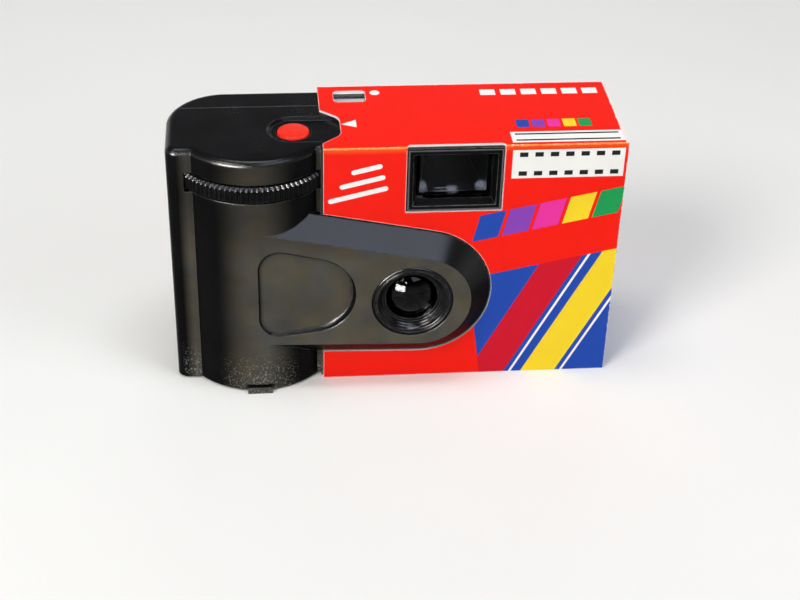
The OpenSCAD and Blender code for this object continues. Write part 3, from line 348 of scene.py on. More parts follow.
# %% Black moulded plastic
def moulded(name, colour, roughness, sand, grain=0.3, gloss=0.12, sides=0.03, painted_light_and_step=False, edge=0.07,
            soft=0.22, line=0.2):
    """Black plastic with a sand texture of so many millimetres deep. Faces that look up have the gloss, and
    the others have that of the sides. Its edges get pale lines, partly wear and partly painted highlight. With
    painted light, it also gets a painted grey sheen on faces that look ahead and back, painted glints low on
    the front, a bezel step with a painted highlight line, and a white, weakly glowing wall behind the counter."""
    plastic = Finish(name, Specular_IOR_Level=sides)
    clouds, fine = plastic.noise(9, 3), plastic.noise(grain, 3, 0.65)
    rounded = plastic.soft_edge(soft)
    up = plastic.node("SeparateXYZ", {}, {0: rounded}, "Z")
    plastic.polished(plastic.spread(up, 0.1, 0.4), Specular_IOR_Level=gloss)
    # Pale lines along sharp edges: partly rubbed wear, partly painted highlight.
    edge_wear_and_highlight = plastic.edges(line) * plastic.spread(plastic.noise(1.6, 4), 0.3, 0.6)
    dust = plastic.spread(fine, 0.62, 0.8)
    tint = plastic.mix(colour, tuple(1.5 * c for c in colour), plastic.spread(clouds, 0.35, 0.7))
    relief = fine * sand
    if painted_light_and_step:
        # Painted sheen: a grey to warm tint, standing for mirrored light, on faces that look ahead and back.
        ahead = 0 - plastic.node("SeparateXYZ", {}, {0: plastic.node("TexCoord", out="Normal")}, "Y")
        out = (abs(plastic.x - FINDER_X) - FINDER_HALF_W) | (abs(plastic.z - FINDER_Z) - FINDER_HALF_H)
        bezel = out < BEZEL_W
        front = plastic.spread(ahead, 0.86, 1.0) * (plastic.y < 0) * (1 - bezel)
        lower = 0.55 + 0.45 * plastic.spread(plastic.z, SHEEN_TOP, SHEEN_FULL)
        painted_sheen = front * front * plastic.spread(plastic.x, GRIP_LEFT, GRIP_SHEEN_FULL) * lower
        painted_sheen = painted_sheen | (0.35 * plastic.spread(0 - ahead, 0.86, 1.0) * (plastic.y > REAR))
        painted_sheen_tint = plastic.mix(SHEEN_GREY, SHEEN_WARM, plastic.spread(plastic.noise(5, 3), 0.35, 0.65))
        tint = plastic.mix(tint, painted_sheen_tint, painted_sheen * (0.8 + 0.7 * (clouds - 0.5)))
        # Painted glints: pale specks low on the faces that look ahead, standing for texture that sparkles in
        # light.
        glint_foot = plastic.spread(plastic.z, GLINT_TOP, GLINT_FULL)
        painted_glints = plastic.spread(plastic.noise(0.42, 1), 0.56, 0.68) * glint_foot
        tint = plastic.mix(tint, GLINT_GREY, painted_glints * plastic.spread(ahead, 0.85, 0.99) * 0.8)
        # Painted highlight lines on the bezel: its edges count double and its step gets a pale line beside its
        # bump.
        step = plastic.spread(abs(out - BEZEL_STEP), 0.22, 0.08)
        edge_wear_and_highlight = (edge_wear_and_highlight * (1 + bezel)) | (step * bezel * (0.5 + clouds))
        relief = relief + STEP_DEPTH * plastic.spread(out, BEZEL_STEP - 0.15, BEZEL_STEP + 0.15)
        # Painted light: the wall behind the counter window is made white and glows weakly, for the light the
        # window lets in.
        beside = abs(plastic.x - WALL_X) < WALL_HALF_W
        lit_wall = (plastic.y > WALL_Y) & beside & (plastic.z > WALL_FOOT) & (ahead > 0.9)
        tint = plastic.mix(tint, WALL_WHITE, lit_wall)
        plastic.wear(Emission_Color=plastic.mix(BLACK, WALL_GLOW, lit_wall), Emission_Strength=1.0)
    tint = plastic.mix(tint, (edge, edge, 1.06 * edge), (dust * 0.12) | (edge_wear_and_highlight * 0.7))
    rough = roughness + 0.1 * (clouds - 0.5) + 0.14 * (fine - 0.5) - 0.08 * edge_wear_and_highlight
    return plastic.wear(Base_Color=tint, Roughness=rough, Normal=plastic.bump(relief, 1.0, rounded))


# %% Front and back covers
# The body's finish includes its painted sheen, painted glints, bezel step line and glowing counter wall.
shell_black = moulded("shell_black", (0.003, 0.0031, 0.0034), 0.24, 0.014, gloss=0.2, sides=0.015,
                      painted_light_and_step=True, edge=0.16, soft=0.4)
for node in ("front_cover", "back_cover"):
    show(node + "_shell", welded_copy(node, node + "_shell"), node, shell_black)

# %% [markdown]
# The thumbwheel is a disc with a knurled rim that stands out of a slot in the grip. A knurl made of facets
# looks sharp and mechanical. The moulded one has rounded ribs, so its profile is turned round the axle and
# the radius is pulled in at each groove: radius - depth * (1 - |sin(half the count * angle)|).

# %% Thumbwheel
low, high = span("thumbwheel")
wheel_r, axle_top, fork_foot = (high[0] - low[0]) / 2, high[2], low[2]
wheel_top, wheel_foot = axle_top - 2.6, fork_foot + 3.8
wheel_profile = eased([(0, axle_top), (3, axle_top), (3, wheel_top), (wheel_r - 0.55, wheel_top),
                       (wheel_r, wheel_top - 0.6), (wheel_r, wheel_foot + 0.5), (wheel_r - 0.5, wheel_foot),
                       (wheel_r - 2.4, wheel_foot), (wheel_r - 2.4, wheel_foot + 1.6),
                       (9.8, wheel_foot + 1.6), (9.8, wheel_foot), (3.3, wheel_foot), (3.3, fork_foot),
                       (0, fork_foot)], [0.4, 0.3, 0.12, 0.12, 0.12, 0.12, 0.3, 0.3, 0.3, 0.3, 0.3, 0.3])
RIBS, RIB_STEPS, RIB_DEPTH = 100, 8, 0.5
wheel_grid = turned(wheel_profile, (0, 0, 0), (0, 0, 1), (1, 0, 0), RIBS * RIB_STEPS)
reach = np.linalg.norm(wheel_grid[..., :2], axis=-1)
turn = np.arctan2(wheel_grid[..., 1], wheel_grid[..., 0])
groove = RIB_DEPTH * (1 - np.abs(np.sin(RIBS / 2 * turn))) * np.clip((reach - wheel_r + 0.9) / 0.6, 0, 1)
wheel_grid[..., :2] *= (1 - groove / np.maximum(reach, 1))[..., None]
wheel_grid += np.array([(low[0] + high[0]) / 2, (low[1] + high[1]) / 2, 0])
wheel_black = moulded("wheel_black", (0.004, 0.004, 0.0045), 0.22, 0.006, gloss=0.36)
wheel_skin = skin("thumbwheel_knurled", wheel_grid)
show("thumbwheel_knurled", wheel_skin, "thumbwheel", wheel_black, 50)

# %% [markdown]
# The ring round the lens is turned-looking: two ridges, a groove between them, and a stepped cone down to
# the glass that stops stray light. It is polished in the mould, so it takes sharp lights where the body only
# glows, and its sharp edges carry pale lines that are painted highlights. A profile turned round the lens
# axis gives it, with fine threads cut in the cone.

# %% Lens ring
low, high = span("lens_ring")
lens_axis = np.array([(low[0] + high[0]) / 2, 0, (low[2] + high[2]) / 2])
ring_out, face, seat = (high[0] - low[0]) / 2, -low[1], -high[1]
ring_r, step, cut = ring_out - 0.35, 0.35, 0.3
inner = 6.55
thread = np.linspace(0, 1, 7)[1:-1]
cone = np.stack([ring_r - 4 * step + (inner - ring_r + 4 * step) * thread,
                 face - 1.5 * thread - 0.09 * (np.arange(5) % 2)], axis=1)
ring_profile = eased([(ring_out, seat), (ring_out, face - 1.5), (ring_r, face - 1.5), (ring_r, face - cut),
                      (ring_r - cut, face), (ring_r - 2 * step, face), (ring_r - 2 * step, face - cut),
                      (ring_r - 3 * step, face - cut), (ring_r - 3 * step, face), (ring_r - 4 * step, face),
                      *cone, (inner, face - 1.5), (inner, face - 1.85), (5.85, face - 1.85), (5.85, seat),
                      (ring_out, seat)], 0.09, 4)
ring_grid = turned(ring_profile, lens_axis, (0, -1, 0), (1, 0, 0), 160)
# Painted highlight: the pale edge colour of 0.5 draws thin light rings along the ring's sharp edges.
ring_black = moulded("ring_black", (0.004, 0.004, 0.0045), 0.16, 0.001, gloss=0.3, sides=0.08, edge=0.5,
                     soft=0.1, line=0.07)
show("lens_ring_turned", skin("lens_ring_turned", ring_grid), "lens_ring", ring_black)

# %% [markdown]
# The lens is one acrylic element with a strong dome. Its looks come from what it bends and mirrors: the dark
# barrel behind it and the bright softboxes in front. So it gets real thickness and a spherical dome worked
# out from its radius and rise. Its index of refraction is set under acrylic's, which is about 1.5, because
# the pale floor would otherwise whiten the dome.

# %% Lens
low, high = span("lens")
flange_r, apex, lens_back = (high[0] - low[0]) / 2, -low[1], -high[1]
DOME_R, DOME_RISE = 5.6, 2.4
ball = (DOME_R ** 2 + DOME_RISE ** 2) / (2 * DOME_RISE)
slope = np.linspace(0, math.asin(DOME_R / ball), 24)
dome = np.stack([ball * np.sin(slope), apex - ball * (1 - np.cos(slope))], axis=1)
lens_profile = np.vstack([dome, eased([(DOME_R, apex - DOME_RISE - 0.02), (flange_r, apex - DOME_RISE),
                                       (flange_r, lens_back), (0, lens_back)], 0.12)])
acrylic = Finish("acrylic", IOR=1.2, Transmission_Weight=1.0)
smears = acrylic.noise(2.5, 3)
lens_clear = acrylic.wear(Base_Color=acrylic.mix((0.12, 0.115, 0.1), (0.08, 0.08, 0.08), smears),
                          Roughness=0.012 + 0.03 * acrylic.spread(smears, 0.5, 0.75))
lens_grid = turned(lens_profile, lens_axis, (0, -1, 0), (1, 0, 0), 96)
show("lens_dome", skin("lens_dome", lens_grid), "lens", lens_clear)

# %% [markdown]
# The shutter button is a small red cap with a soft rim and a faintly domed top, rubbed paler where fingers
# land. Its stem goes down to the release lever, so the profile is carried right through to the stem's foot.

# %% Shutter button
low, high = span("shutter_button")
cap_centre = np.array([(low[0] + high[0]) / 2, (low[1] + high[1]) / 2, 0])
brim_r, stem_foot, cap_top = (high[0] - low[0]) / 2, low[2], high[2]
cap_r = brim_r - 0.6
packed_points = np.empty(3 * len(nodes["shutter_button"].data.vertices), np.float32)
nodes["shutter_button"].data.vertices.foreach_get("co", packed_points)
button_points = packed_points.reshape(-1, 3) / MM - cap_centre
brim_top = button_points[np.hypot(*button_points.T[:2]) > brim_r - 0.05, 2].max()
bow = np.linspace(0, 1, 8)[:, None]
crown = np.hstack([bow * (cap_r - 0.6), cap_top - 0.16 * bow ** 2])
STEM_R, BRIM_T = 1.5, 0.5
wall = eased([(cap_r - 0.55, cap_top - 0.17), (cap_r, cap_top - 0.4), (cap_r, brim_top), (brim_r, brim_top),
              (brim_r, brim_top - BRIM_T), (STEM_R, brim_top - BRIM_T), (STEM_R, stem_foot), (0, stem_foot)],
             [0.5, 0.1, 0.1, 0.1, 0.1, 0.1])
button_profile = np.vstack([crown, wall])
cap_red = Finish("cap_red", Specular_IOR_Level=0.15)
scuff = cap_red.spread(cap_red.noise(0.7, 4), 0.5, 0.75)
button_red = cap_red.wear(Base_Color=cap_red.mix((0.78, 0.02, 0.008), (0.88, 0.06, 0.03), scuff),
                          Roughness=0.38 + 0.2 * scuff, Normal=cap_red.bump(cap_red.noise(0.15), 0.006))
button_grid = turned(button_profile, cap_centre, (0, 0, 1), (1, 0, 0), 96)
button_skin = skin("shutter_button_cap", button_grid)
show("shutter_button_cap", button_skin, "shutter_button", button_red)

# %% [markdown]
# The carton is half a millimetre of folded, coated board. Its outside is printed, its cut edges and inside
# are raw white board, and its folds are slightly round with the print cracked to white. The welded copy is
# cleaned of its triangles. An edge that lies on two outer planes is a fold and gets a bevel weight, and each
# face is given a print or raw board by the plane that its middle lies on.


# %% Carton: flat sides without triangles
def fetched(items, key, columns, kind):
    """One property of every item of a mesh, as an array of so many columns."""
    values = np.empty(columns * len(items), kind)
    items.foreach_get(key, values)
    return values.reshape(-1, columns)


low, high = span("carton_sleeve")
carton = welded_copy("carton_sleeve", "carton_folded")
board = bmesh.new()
board.from_mesh(carton)
bmesh.ops.dissolve_limit(board, angle_limit=0.01, verts=board.verts, edges=board.edges)
board.to_mesh(carton)
board.free()
print("carton sides and edges:", len(carton.polygons), "faces")

# %% Carton: folds and printed sides
SIDES = ("front", "top", "right", "back", "foot")
plane_axis, plane_at = (1, 2, 0, 1, 2), (low[1], high[2], high[0], high[1], low[2])
ON_PLANE = 0.01
points = fetched(carton.vertices, "co", 3, np.float32) / MM
point_on = np.abs(points[:, plane_axis] - plane_at) < ON_PLANE
edge_on = point_on[fetched(carton.edges, "vertices", 2, np.int32)].all(axis=1)
fold_weight = carton.attributes.new("bevel_weight_edge", "FLOAT", "EDGE")
fold_weight.data.foreach_set("value", (edge_on.sum(axis=1) == 2).astype(np.float32))
corners = fetched(carton.loops, "vertex_index", 1, np.int32)[:, 0]
first_corner = fetched(carton.polygons, "loop_start", 1, np.int32)[:, 0]
corner_count = fetched(carton.polygons, "loop_total", 1, np.int32)
middle = np.add.reduceat(points[corners], first_corner) / corner_count
face_on = np.abs(middle[:, plane_axis] - plane_at) < ON_PLANE
side = np.where(face_on.any(axis=1), face_on.argmax(axis=1), len(SIDES))
carton.polygons.foreach_set("material_index", side.astype(np.int32))
sleeve = show("carton_folded", carton, "carton_sleeve", None)
fold = sleeve.modifiers.new("folds", "BEVEL")
fold.limit_method, fold.width, fold.segments = "WEIGHT", 0.35 * MM, 3
sleeve.modifiers.move(1, 0)
carton_low, carton_high = low, high

# %% [markdown]
# The print is one ink layer after another on red board: each motif is a mask, worked out from the place on
# the sheet, and a colour laid over what is there. Every side has its own short recipe. Orange bands along the
# top front fold are laid the same way, but they are a painted highlight of the rounded fold, not ink. The
# board itself adds a satin varnish, faint fibres, and wear where the sheet is folded, which on the top's
# right fold is widened into a painted highlight as well.

# %% Board and varnish
RED, WHITE, BLUE = (0.84, 0.008, 0.001), (0.82, 0.815, 0.79), (0.012, 0.06, 0.38)
YELLOW, CRIMSON, VIOLET = (0.86, 0.62, 0.02), (0.56, 0.004, 0.02), (0.22, 0.05, 0.42)
MAGENTA, GREEN, INK = (0.75, 0.03, 0.32), (0.01, 0.3, 0.08), (0.012, 0.012, 0.014)
FOLD_HIGHLIGHT_ORANGE, FOLD_HIGHLIGHT_PALE = (0.86, 0.1, 0.006), (0.9, 0.36, 0.1)


class Sheet(Finish):
    """A printed side of the carton, with u to the right and v up the sheet, in millimetres."""

    def __init__(self, name, u, v, folds):
        super().__init__(name, Specular_IOR_Level=0.07)
        self.u, self.v = getattr(self, u), getattr(self, v)
        self.folds, self.ink = folds, RED

    def lay(self, colour, mask):
        self.ink = self.mix(self.ink, colour, mask)

    def between(self, value, low, high):
        return (value > low) & (value < high)

    def block(self, u0, u1, v0, v1):
        return self.between(self.u, u0, u1) & self.between(self.v, v0, v1)

    def stroke(self, u, v, half, thick, angle):
        """A round-ended stroke: points within half its thickness of a short slanted line."""
        c, s = math.cos(math.radians(angle)), math.sin(math.radians(angle))
        along = abs((self.u - u) * c + (self.v - v) * s) - half | 0.0
        across = (self.v - v) * c - (self.u - u) * s
        return (along * along + across * across) < (thick / 2) ** 2

    def under(self, u0, v0, u1, v1):
        """Points below the line through two points."""
        rise = (v1 - v0) / (u1 - u0)
        return self.v - self.u * rise < v0 - u0 * rise

    def rainbow(self, share):
        """Five inks side by side, as the share goes from 0 to 1."""
        stops = [(i / 5, ink) for i, ink in enumerate((BLUE, VIOLET, MAGENTA, YELLOW, GREEN))]
        return self.node("ValToRGB", {"interpolation": "CONSTANT", "stops": stops}, {0: share})

    def dried(self):
        """Wear at the folds, widened on some folds into a painted highlight, then varnish."""
        fibre, cloud = self.noise(0.35, 4, 0.7), self.noise(14, 2)
        fray = 0.9 * (self.noise(1.1, 5, 0.75) - 0.5)
        wear_and_highlight, flat = 0.0, 1.0
        for axis, at, width in self.folds:
            gap = abs(getattr(self, axis) - at)
            wear_and_highlight = ((gap + fray) < width) | wear_and_highlight
            flat = (gap > 0.9) * flat
        wear_and_highlight = (wear_and_highlight * 0.88) | (self.edges(0.3) * flat * (0.7 + 0.4 * self.noise(0.8, 3)))
        tint = self.mix(self.ink, (0.82, 0.79, 0.76), wear_and_highlight)
        tint = self.mix(tint, BLACK, self.spread(cloud, 0.45, 0.8) * 0.06)
        return self.wear(Base_Color=tint, Roughness=0.4 + 0.14 * (fibre - 0.5) + 0.25 * wear_and_highlight,
                         Normal=self.bump(fibre, 0.004))


# %% Front print
x0, y0, z0 = carton_low
x1, y1, z1 = carton_high
front = Sheet("print_front", "x", "z", [("z", z1, 0.0), ("x", x1, 0.1)])
panel_rise = math.tan(math.radians(11.9))
# Painted highlight: orange bands just under the top fold, standing for light on the rounded fold.
front.lay(FOLD_HIGHLIGHT_ORANGE, front.spread(front.v, z1 - 1.6, z1 - 0.5) * 0.8)
front.lay(FOLD_HIGHLIGHT_PALE, front.spread(front.v + 0.6 * (front.noise(0.9, 4) - 0.5), z1 - 0.45, z1 - 0.25) * 0.7)
blue_field = front.under(20.8, 27.3, 49.2, 33.3) & (front.u + 0.14 * front.v > 19.9)
front.lay(BLUE, blue_field)
sash = front.u - 0.5 * front.v
front.lay(CRIMSON, blue_field & front.between(sash, 17.0, 25.5))
front.lay(YELLOW, blue_field & front.between(sash, 29.5, 37.5))
front.lay(WHITE, blue_field & (front.between(sash, 26.6, 27.2) | front.between(sash, 38.6, 39.2)))
front.lay(WHITE, front.block(24.1, 48.3, 51.8, 58.7))
holes = front.between((front.u - 25.0) % 3.3, 0.6, 2.4) & front.between(front.u, 25.0, 48.0)
front.lay(INK, holes & (front.between(front.v, 57.0, 58.1) | front.between(front.v, 52.4, 53.5)))
slant_u, slant_v = front.u - 0.22 * (front.v - 40), front.v - (front.u - 17.7) * panel_rise
row = front.between(slant_v, 36.2, 42.6) & front.between(slant_u, 17.4, 48.2)
blocks = front.between((slant_u - 17.4) % 6.2, 0.0, 5.4) & row
front.lay(front.rainbow((slant_u - 17.4) / 31.0), blocks)
for i, half in enumerate((6.0, 4.4, 2.8)):
    front.lay(WHITE, front.stroke(-8.6 + 0.9 * i, 48.6 + 3.1 * i, half, 1.15, 14))

# %% Prints on the other sides
# The top's right fold, and the right side's top fold below, wear white over a wide stripe: fold wear and a
# painted highlight of the rounded fold.
top = Sheet("print_top", "x", "y", [("y", y0, 0.0), ("y", y1, 0.12), ("x", x1, 0.75)])
past_tip = top.u + 11.7
flare = abs(top.v + 2.65 - 0.07 * past_tip) - 0.5 * past_tip
top.lay(WHITE, (top.u > -11.7) & (flare < 0) & (top.u < -8.4))
# Painted highlight: a pale orange line along the top's front fold.
top.lay(FOLD_HIGHLIGHT_PALE, top.spread(0 - top.v + 0.6 * (top.noise(0.9, 4) - 0.5), -y0 - 0.25, -y0 - 0.1) * 0.7)
top.lay(WHITE, top.stroke(-3.4, 11.5, 0, 2.2, 0))
top.lay(WHITE, top.block(24.1, 48.3, -12.2, -7.6))
top.lay(INK, top.block(25.0, 47.4, -8.9, -8.3) | top.block(25.0, 47.4, -11.5, -10.9))
chips = top.between((top.u - 26.0) % 3.4, 0.0, 2.8) & top.block(26.0, 43.0, -5.6, -2.2)
top.lay(top.rainbow((top.u - 26.0) / 17.0), chips)
top.lay(WHITE, top.between((top.u - 20.0) % 4.6, 0.0, 3.4) & top.block(20.0, 47.0, 9.4, 12.0))
right = Sheet("print_right", "y", "z", [("z", z1, 0.5), ("y", y0, 0.1), ("y", y1, 0.12)])
right.lay(BLUE, right.under(-13.2, 33.3, 14.8, 27.3))
right.lay(WHITE, right.block(-9.0, 10.6, 51.8, 58.7))
back = Sheet("print_back", "x", "z", [("z", z1, 0.12), ("x", x1, 0.12)])
back.lay(BLUE, back.v < 9.0)
back.lay(WHITE, back.block(-8.0, 41.0, 14.0, 36.0))
back.lay(INK, back.between(back.v % 3.2, 0.0, 0.5) & back.block(-5.0, 38.0, 16.0, 34.5))
foot = Sheet("print_foot", "x", "y", [("y", y0, 0.12), ("y", y1, 0.12), ("x", x1, 0.12)])
foot.lay(BLUE, foot.v < -6.0)
raw = Finish("raw_board", Specular_IOR_Level=0.2)
pulp = raw.noise(0.25, 5, 0.7)
raw_board = raw.wear(Base_Color=raw.mix((0.8, 0.79, 0.76), (0.9, 0.89, 0.87), pulp),
                     Roughness=0.8 + 0.1 * pulp, Normal=raw.bump(pulp, 0.01))
for sheet in (front, top, right, back, foot):
    carton.materials.append(sheet.dried())
carton.materials.append(raw_board)
print("carton finishes:", [m.name for m in carton.materials])

# %% [markdown]
# The rest of the pieces keep their imported shapes. Each gets the finish of its real counterpart: clear panes,
# a counter disc with a printed scale, dull black inner mouldings, amber and white mechanism plastics, thin
# steel, felt, a painted film can and the dark film itself. The counter's window has a black back face, a
# painted shade, and the viewfinder's pane four faint pale marks, which are painted reflections.

# %% Finishes of the imported pieces
pane = Finish("pane", IOR=1.49, Transmission_Weight=1.0)
haze = pane.noise(3.0, 3)
# Painted shade: the window's back face is opaque black, for the dark band where the window looks into shade.
painted_shade_back = pane.y > span("counter_window")[1][1] - 0.05
pane.polished(painted_shade_back)
glass = pane.mix((0.98, 0.99, 0.99), (0.94, 0.96, 0.97), haze)
pane_clear = pane.wear(Base_Color=pane.mix(glass, INK, painted_shade_back),
                       Roughness=0.02 + 0.05 * pane.spread(haze, 0.5, 0.8))

finder = Finish("finder_pane", IOR=1.08, Transmission_Weight=1.0)
bloom = finder.noise(2.0, 3)
# Painted reflections: four faint pale spots low on the front of the pane.
painted_reflections = 0.0
PAINTED_REFLECTION_SPOTS = ((5.4, 48.7, 0.9, 1.2), (18.0, 48.8, 1.3, 0.9), (11.9, 47.9, 1.3, 0.7), (9.3, 48.0, 1.4, 0.25))
for mark_x, mark_z, half_x, half_z in PAINTED_REFLECTION_SPOTS:
    aside, above = (finder.x - mark_x) / half_x, (finder.z - mark_z) / half_z
    painted_reflections = finder.spread(aside * aside + above * above + 1.6 * (bloom - 0.5), 1.3, 0.4) | painted_reflections
painted_reflections = painted_reflections * (finder.y < 0)
finder.polished(painted_reflections * 0.1)
clear = finder.mix((0.9, 0.93, 0.95), (0.8, 0.85, 0.92), bloom)
finder_pane = finder.wear(Base_Color=finder.mix(clear, (0.7, 0.76, 0.95), painted_reflections),
                          Roughness=0.01 + 0.02 * bloom)

frame_black = moulded("frame_black", (0.004, 0.004, 0.0045), 0.6, 0.01, gloss=0.08)
# Painted highlight: edge=0.3 draws pale lines along the tunnel's sharp edges.
tunnel_black = moulded("tunnel_black", (0.0015, 0.0015, 0.0017), 0.35, 0.001, gloss=0.06, edge=0.3)


def plain_plastic(name, dark, light, roughness):
    """Unpainted moulding: a cloudy colour, a satin skin and a trace of flow marks."""
    plastic = Finish(name, Specular_IOR_Level=0.45)
    flow, fine = plastic.noise(4.0, 3), plastic.noise(0.2, 2)
    return plastic.wear(Base_Color=plastic.mix(dark, light, flow), Roughness=roughness + 0.15 * (fine - 0.5),
                        Normal=plastic.bump(fine, 0.004, plastic.soft_edge(0.12)))


def sheet_steel(name, tone, roughness):
    """Rolled thin steel: fine lines along the rolling direction and a soft mirror."""
    steel = Finish(name, Metallic=1.0)
    drawn_out = steel.node("Mapping", {}, {0: steel.place, "Scale": (9, 9, 0.4)})
    lines = steel.node("TexNoise", {}, {"Vector": drawn_out, "Scale": 1.0, "Detail": 3})
    return steel.wear(Base_Color=steel.mix(tuple(0.8 * c for c in tone), tone, lines),
                      Roughness=roughness + 0.2 * (lines - 0.5), Normal=steel.bump(lines, 0.002))


disc = Finish("counter_scale", Specular_IOR_Level=0.4)
low, high = span("counter_disc")
pin = ((low[0] + high[0]) / 2, (low[1] + high[1]) / 2)
du, dv = disc.x - pin[0], disc.y - pin[1]
reach = disc.node("Math", {"operation": "SQRT"}, {0: du * du + dv * dv})
turned_by = disc.node("Math", {"operation": "ARCTAN2"}, {0: dv, 1: du})
tick = (abs((turned_by * (15 / math.pi)) % 1.0 - 0.5) < 0.07) & (reach > 6.0) & (reach < 7.0)
scale = disc.mix((0.9, 0.9, 0.88), INK, tick)
fine = disc.noise(0.2)
counter_scale = disc.wear(Base_Color=scale, Roughness=0.45 + 0.1 * (fine - 0.5),
                          Normal=disc.bump(fine, 0.003))

felt = Finish("felt_pile", Sheen_Weight=0.5)
pile = felt.noise(0.12, 4, 0.7)
felt_pile = felt.wear(Base_Color=felt.mix((0.006, 0.006, 0.007), (0.03, 0.03, 0.032), pile),
                      Roughness=0.9 + 0.1 * pile, Normal=felt.bump(pile, 0.06))

film = Finish("film_base", Specular_IOR_Level=0.5)
streak = film.noise(6.0, 2)
film_base = film.wear(Base_Color=film.mix((0.05, 0.035, 0.03), (0.09, 0.06, 0.05), streak),
                      Roughness=0.22 + 0.1 * streak)

can = Finish("painted_can", Specular_IOR_Level=0.5)
can_fine = can.noise(0.3, 3)
stripe = (can.z > 12) & (can.z < 20)
lacquer = can.mix((0.9, 0.6, 0.02), (0.8, 0.5, 0.02), can_fine)
painted_can = can.wear(Base_Color=can.mix(lacquer, INK, stripe), Roughness=0.3 + 0.1 * can_fine)

amber = plain_plastic("amber_plastic", (0.5, 0.25, 0.05), (0.62, 0.34, 0.08), 0.4)
white = plain_plastic("white_plastic", (0.74, 0.73, 0.7), (0.83, 0.82, 0.79), 0.42)
thin_steel = sheet_steel("thin_steel", (0.55, 0.55, 0.56), 0.35)
spring_steel = sheet_steel("spring_steel", (0.45, 0.45, 0.47), 0.28)
blackened = moulded("blackened_plate", (0.002, 0.002, 0.0022), 0.6, 0.002, gloss=0.03, sides=0.03)

FINISHES = {
    shell_black: ("film_door",),
    finder_pane: ("viewfinder_lens", "eyepiece"),
    pane_clear: ("counter_window",),
    tunnel_black: ("viewfinder_tunnel",),
    frame_black: ("chassis", "lens_holder", "cartridge_spool", "supply_spool"),
    counter_scale: ("counter_disc",),
    white: ("sprocket",),
    amber: ("shutter_cam", "release_lever", "shutter_hammer"),
    thin_steel: ("cartridge_caps",),
    blackened: ("aperture_plate", "shutter_blade"),
    spring_steel: ("hammer_spring", "blade_spring"),
    felt_pile: ("light_trap_felt",),
    film_base: ("film_strip", "exposed_film", "film_roll"),
    painted_can: ("cartridge_shell",),
}
for finish, users in FINISHES.items():
    for node in users:
        nodes[node].data.materials.clear()
        nodes[node].data.materials.append(finish)
print("packed pieces with a finish:", sum(map(len, FINISHES.values())))

# %% [markdown]
# The viewer stands where the photographer stood, a little left of the middle and looking down. Its place was
# fitted to the carton's corners and side edges, the lens boss, the viewfinder and small marks on the top, and
# is given as numbers here.

# %% Camera
EYE, AIM = Vector((-30.8, -306.9, 226.6)) * MM, Vector((2.48, 0.0, 11.83)) * MM
ROLL = math.radians(1.78)
viewer = bpy.data.objects.new("viewer", bpy.data.cameras.new("viewer"))
viewer.data.lens, viewer.data.sensor_width = 72.63, 36.0
viewer.location = EYE
viewer.rotation_mode = "QUATERNION"
viewer.rotation_quaternion = (AIM - EYE).to_track_quat("-Z", "Y") @ Quaternion((0, 0, 1), ROLL)
bpy.context.scene.collection.objects.link(viewer)
bpy.context.scene.camera = viewer
print("viewer to its aim in mm:", round((AIM - EYE).length / MM))

# %% [markdown]
# Soft studio light: a warm key from the upper left, a box overhead, and a fill and a box behind that light
# dull surfaces only. Three more show in glossy surfaces only: a bluish window for the bevel of the boss, a
# low box on the left, and a small glint. The floor is pale and keeps the shadow. Far away it glows for the
# eye, mirrors and panes alone, so that low views end in a pale ground and no light is added. The world is
# white near the horizon and dark overhead, and dimmer as a light.


# %% Lights, floor and world
def softbox(name, at, size, watts, colour, diffuse=True, glossy=True):
    """An area lamp that faces the body; it lights dull surfaces, shows in glossy ones, or does both."""
    lamp = bpy.data.lights.new(name, "AREA")
    lamp.shape, lamp.size, lamp.size_y = "RECTANGLE", size[0], size[1]
    lamp.energy, lamp.color = watts, colour
    holder = bpy.data.objects.new(name, lamp)
    holder.location = at
    holder.visible_diffuse, holder.visible_glossy, holder.visible_transmission = diffuse, glossy, diffuse
    holder.rotation_euler = (Vector((0, 0, 0.03)) - Vector(at)).to_track_quat("-Z", "Y").to_euler()
    bpy.context.scene.collection.objects.link(holder)


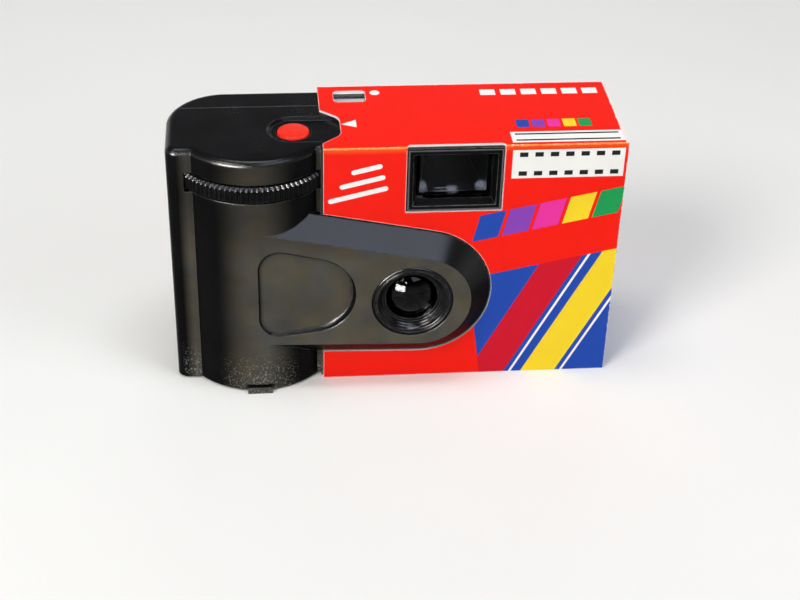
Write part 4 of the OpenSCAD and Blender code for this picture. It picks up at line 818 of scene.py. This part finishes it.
softbox("key", (-0.45, -0.5, 0.62), (0.3, 0.3), 5.0, (1.0, 0.97, 0.92))
softbox("overhead", (-0.02, -0.05, 0.8), (0.5, 0.2), 3.5, (0.95, 0.98, 1.0))
softbox("fill", (0.6, -0.35, 0.35), (0.4, 0.4), 2.0, (0.95, 0.98, 1.0), glossy=False)
softbox("behind", (0.1, 0.75, 0.2), (0.5, 0.3), 1.6, (1.0, 0.99, 0.97), glossy=False)
softbox("window", (0.26, -0.48, 0.57), (0.5, 0.3), 3.2, (0.75, 0.82, 1.0), diffuse=False)
softbox("low_left", (-0.35, -0.5, 0.12), (0.34, 0.22), 26.0, (1.0, 0.98, 0.95), diffuse=False)
softbox("glint", (-0.12, -0.42, 0.27), (0.03, 0.03), 0.35, (1.0, 1.0, 1.0), diffuse=False)

FLOOR_HALF = 3000
corner = np.array([[-1, -1, 0], [1, -1, 0], [1, 1, 0], [-1, 1, 0]]) * FLOOR_HALF * MM
floor_mesh = bpy.data.meshes.new("floor")
floor_mesh.from_pydata(corner.tolist(), [], [(0, 1, 2, 3)])
floor = bpy.data.objects.new("floor", floor_mesh)
bpy.context.scene.collection.objects.link(floor)
paper = Finish("floor_paper", Specular_IOR_Level=0.1)
away = paper.node("VectorMath", {"operation": "LENGTH"}, {0: paper.place}, "Value")
GLOW_FROM, GLOW_FULL = 400, 1000
far_glow = paper.mix(BLACK, (0.85, 0.85, 0.84), paper.spread(away, GLOW_FROM, GLOW_FULL) * paper.seen())
floor_tint = paper.mix((0.79, 0.785, 0.775), (0.81, 0.805, 0.795), paper.noise(60, 2))
floor_mesh.materials.append(paper.wear(Base_Color=floor_tint, Roughness=0.9, Emission_Color=far_glow,
                                       Emission_Strength=1.0))
print("lamps:", len(bpy.data.lights))

world = bpy.data.worlds.new("studio")
bpy.context.scene.world = world
world.use_nodes = True
sky = Tree(world.node_tree)
through = sky.node("LightPath", out="Is Transmission Ray")
height = sky.node("SeparateXYZ", {}, {0: sky.node("TexCoord", out="Generated")}, "Z")
room = world.node_tree.nodes["Background"]
overhead = sky.spread(height, 0.12, 0.42) * (1 - through)
sky.feed(room.inputs["Color"], sky.mix((1.0, 1.0, 1.0), (0.08, 0.08, 0.09), overhead))
sky.feed(room.inputs["Strength"], 0.4 + 0.6 * sky.seen())
bpy.context.scene.view_settings.view_transform = "Standard"
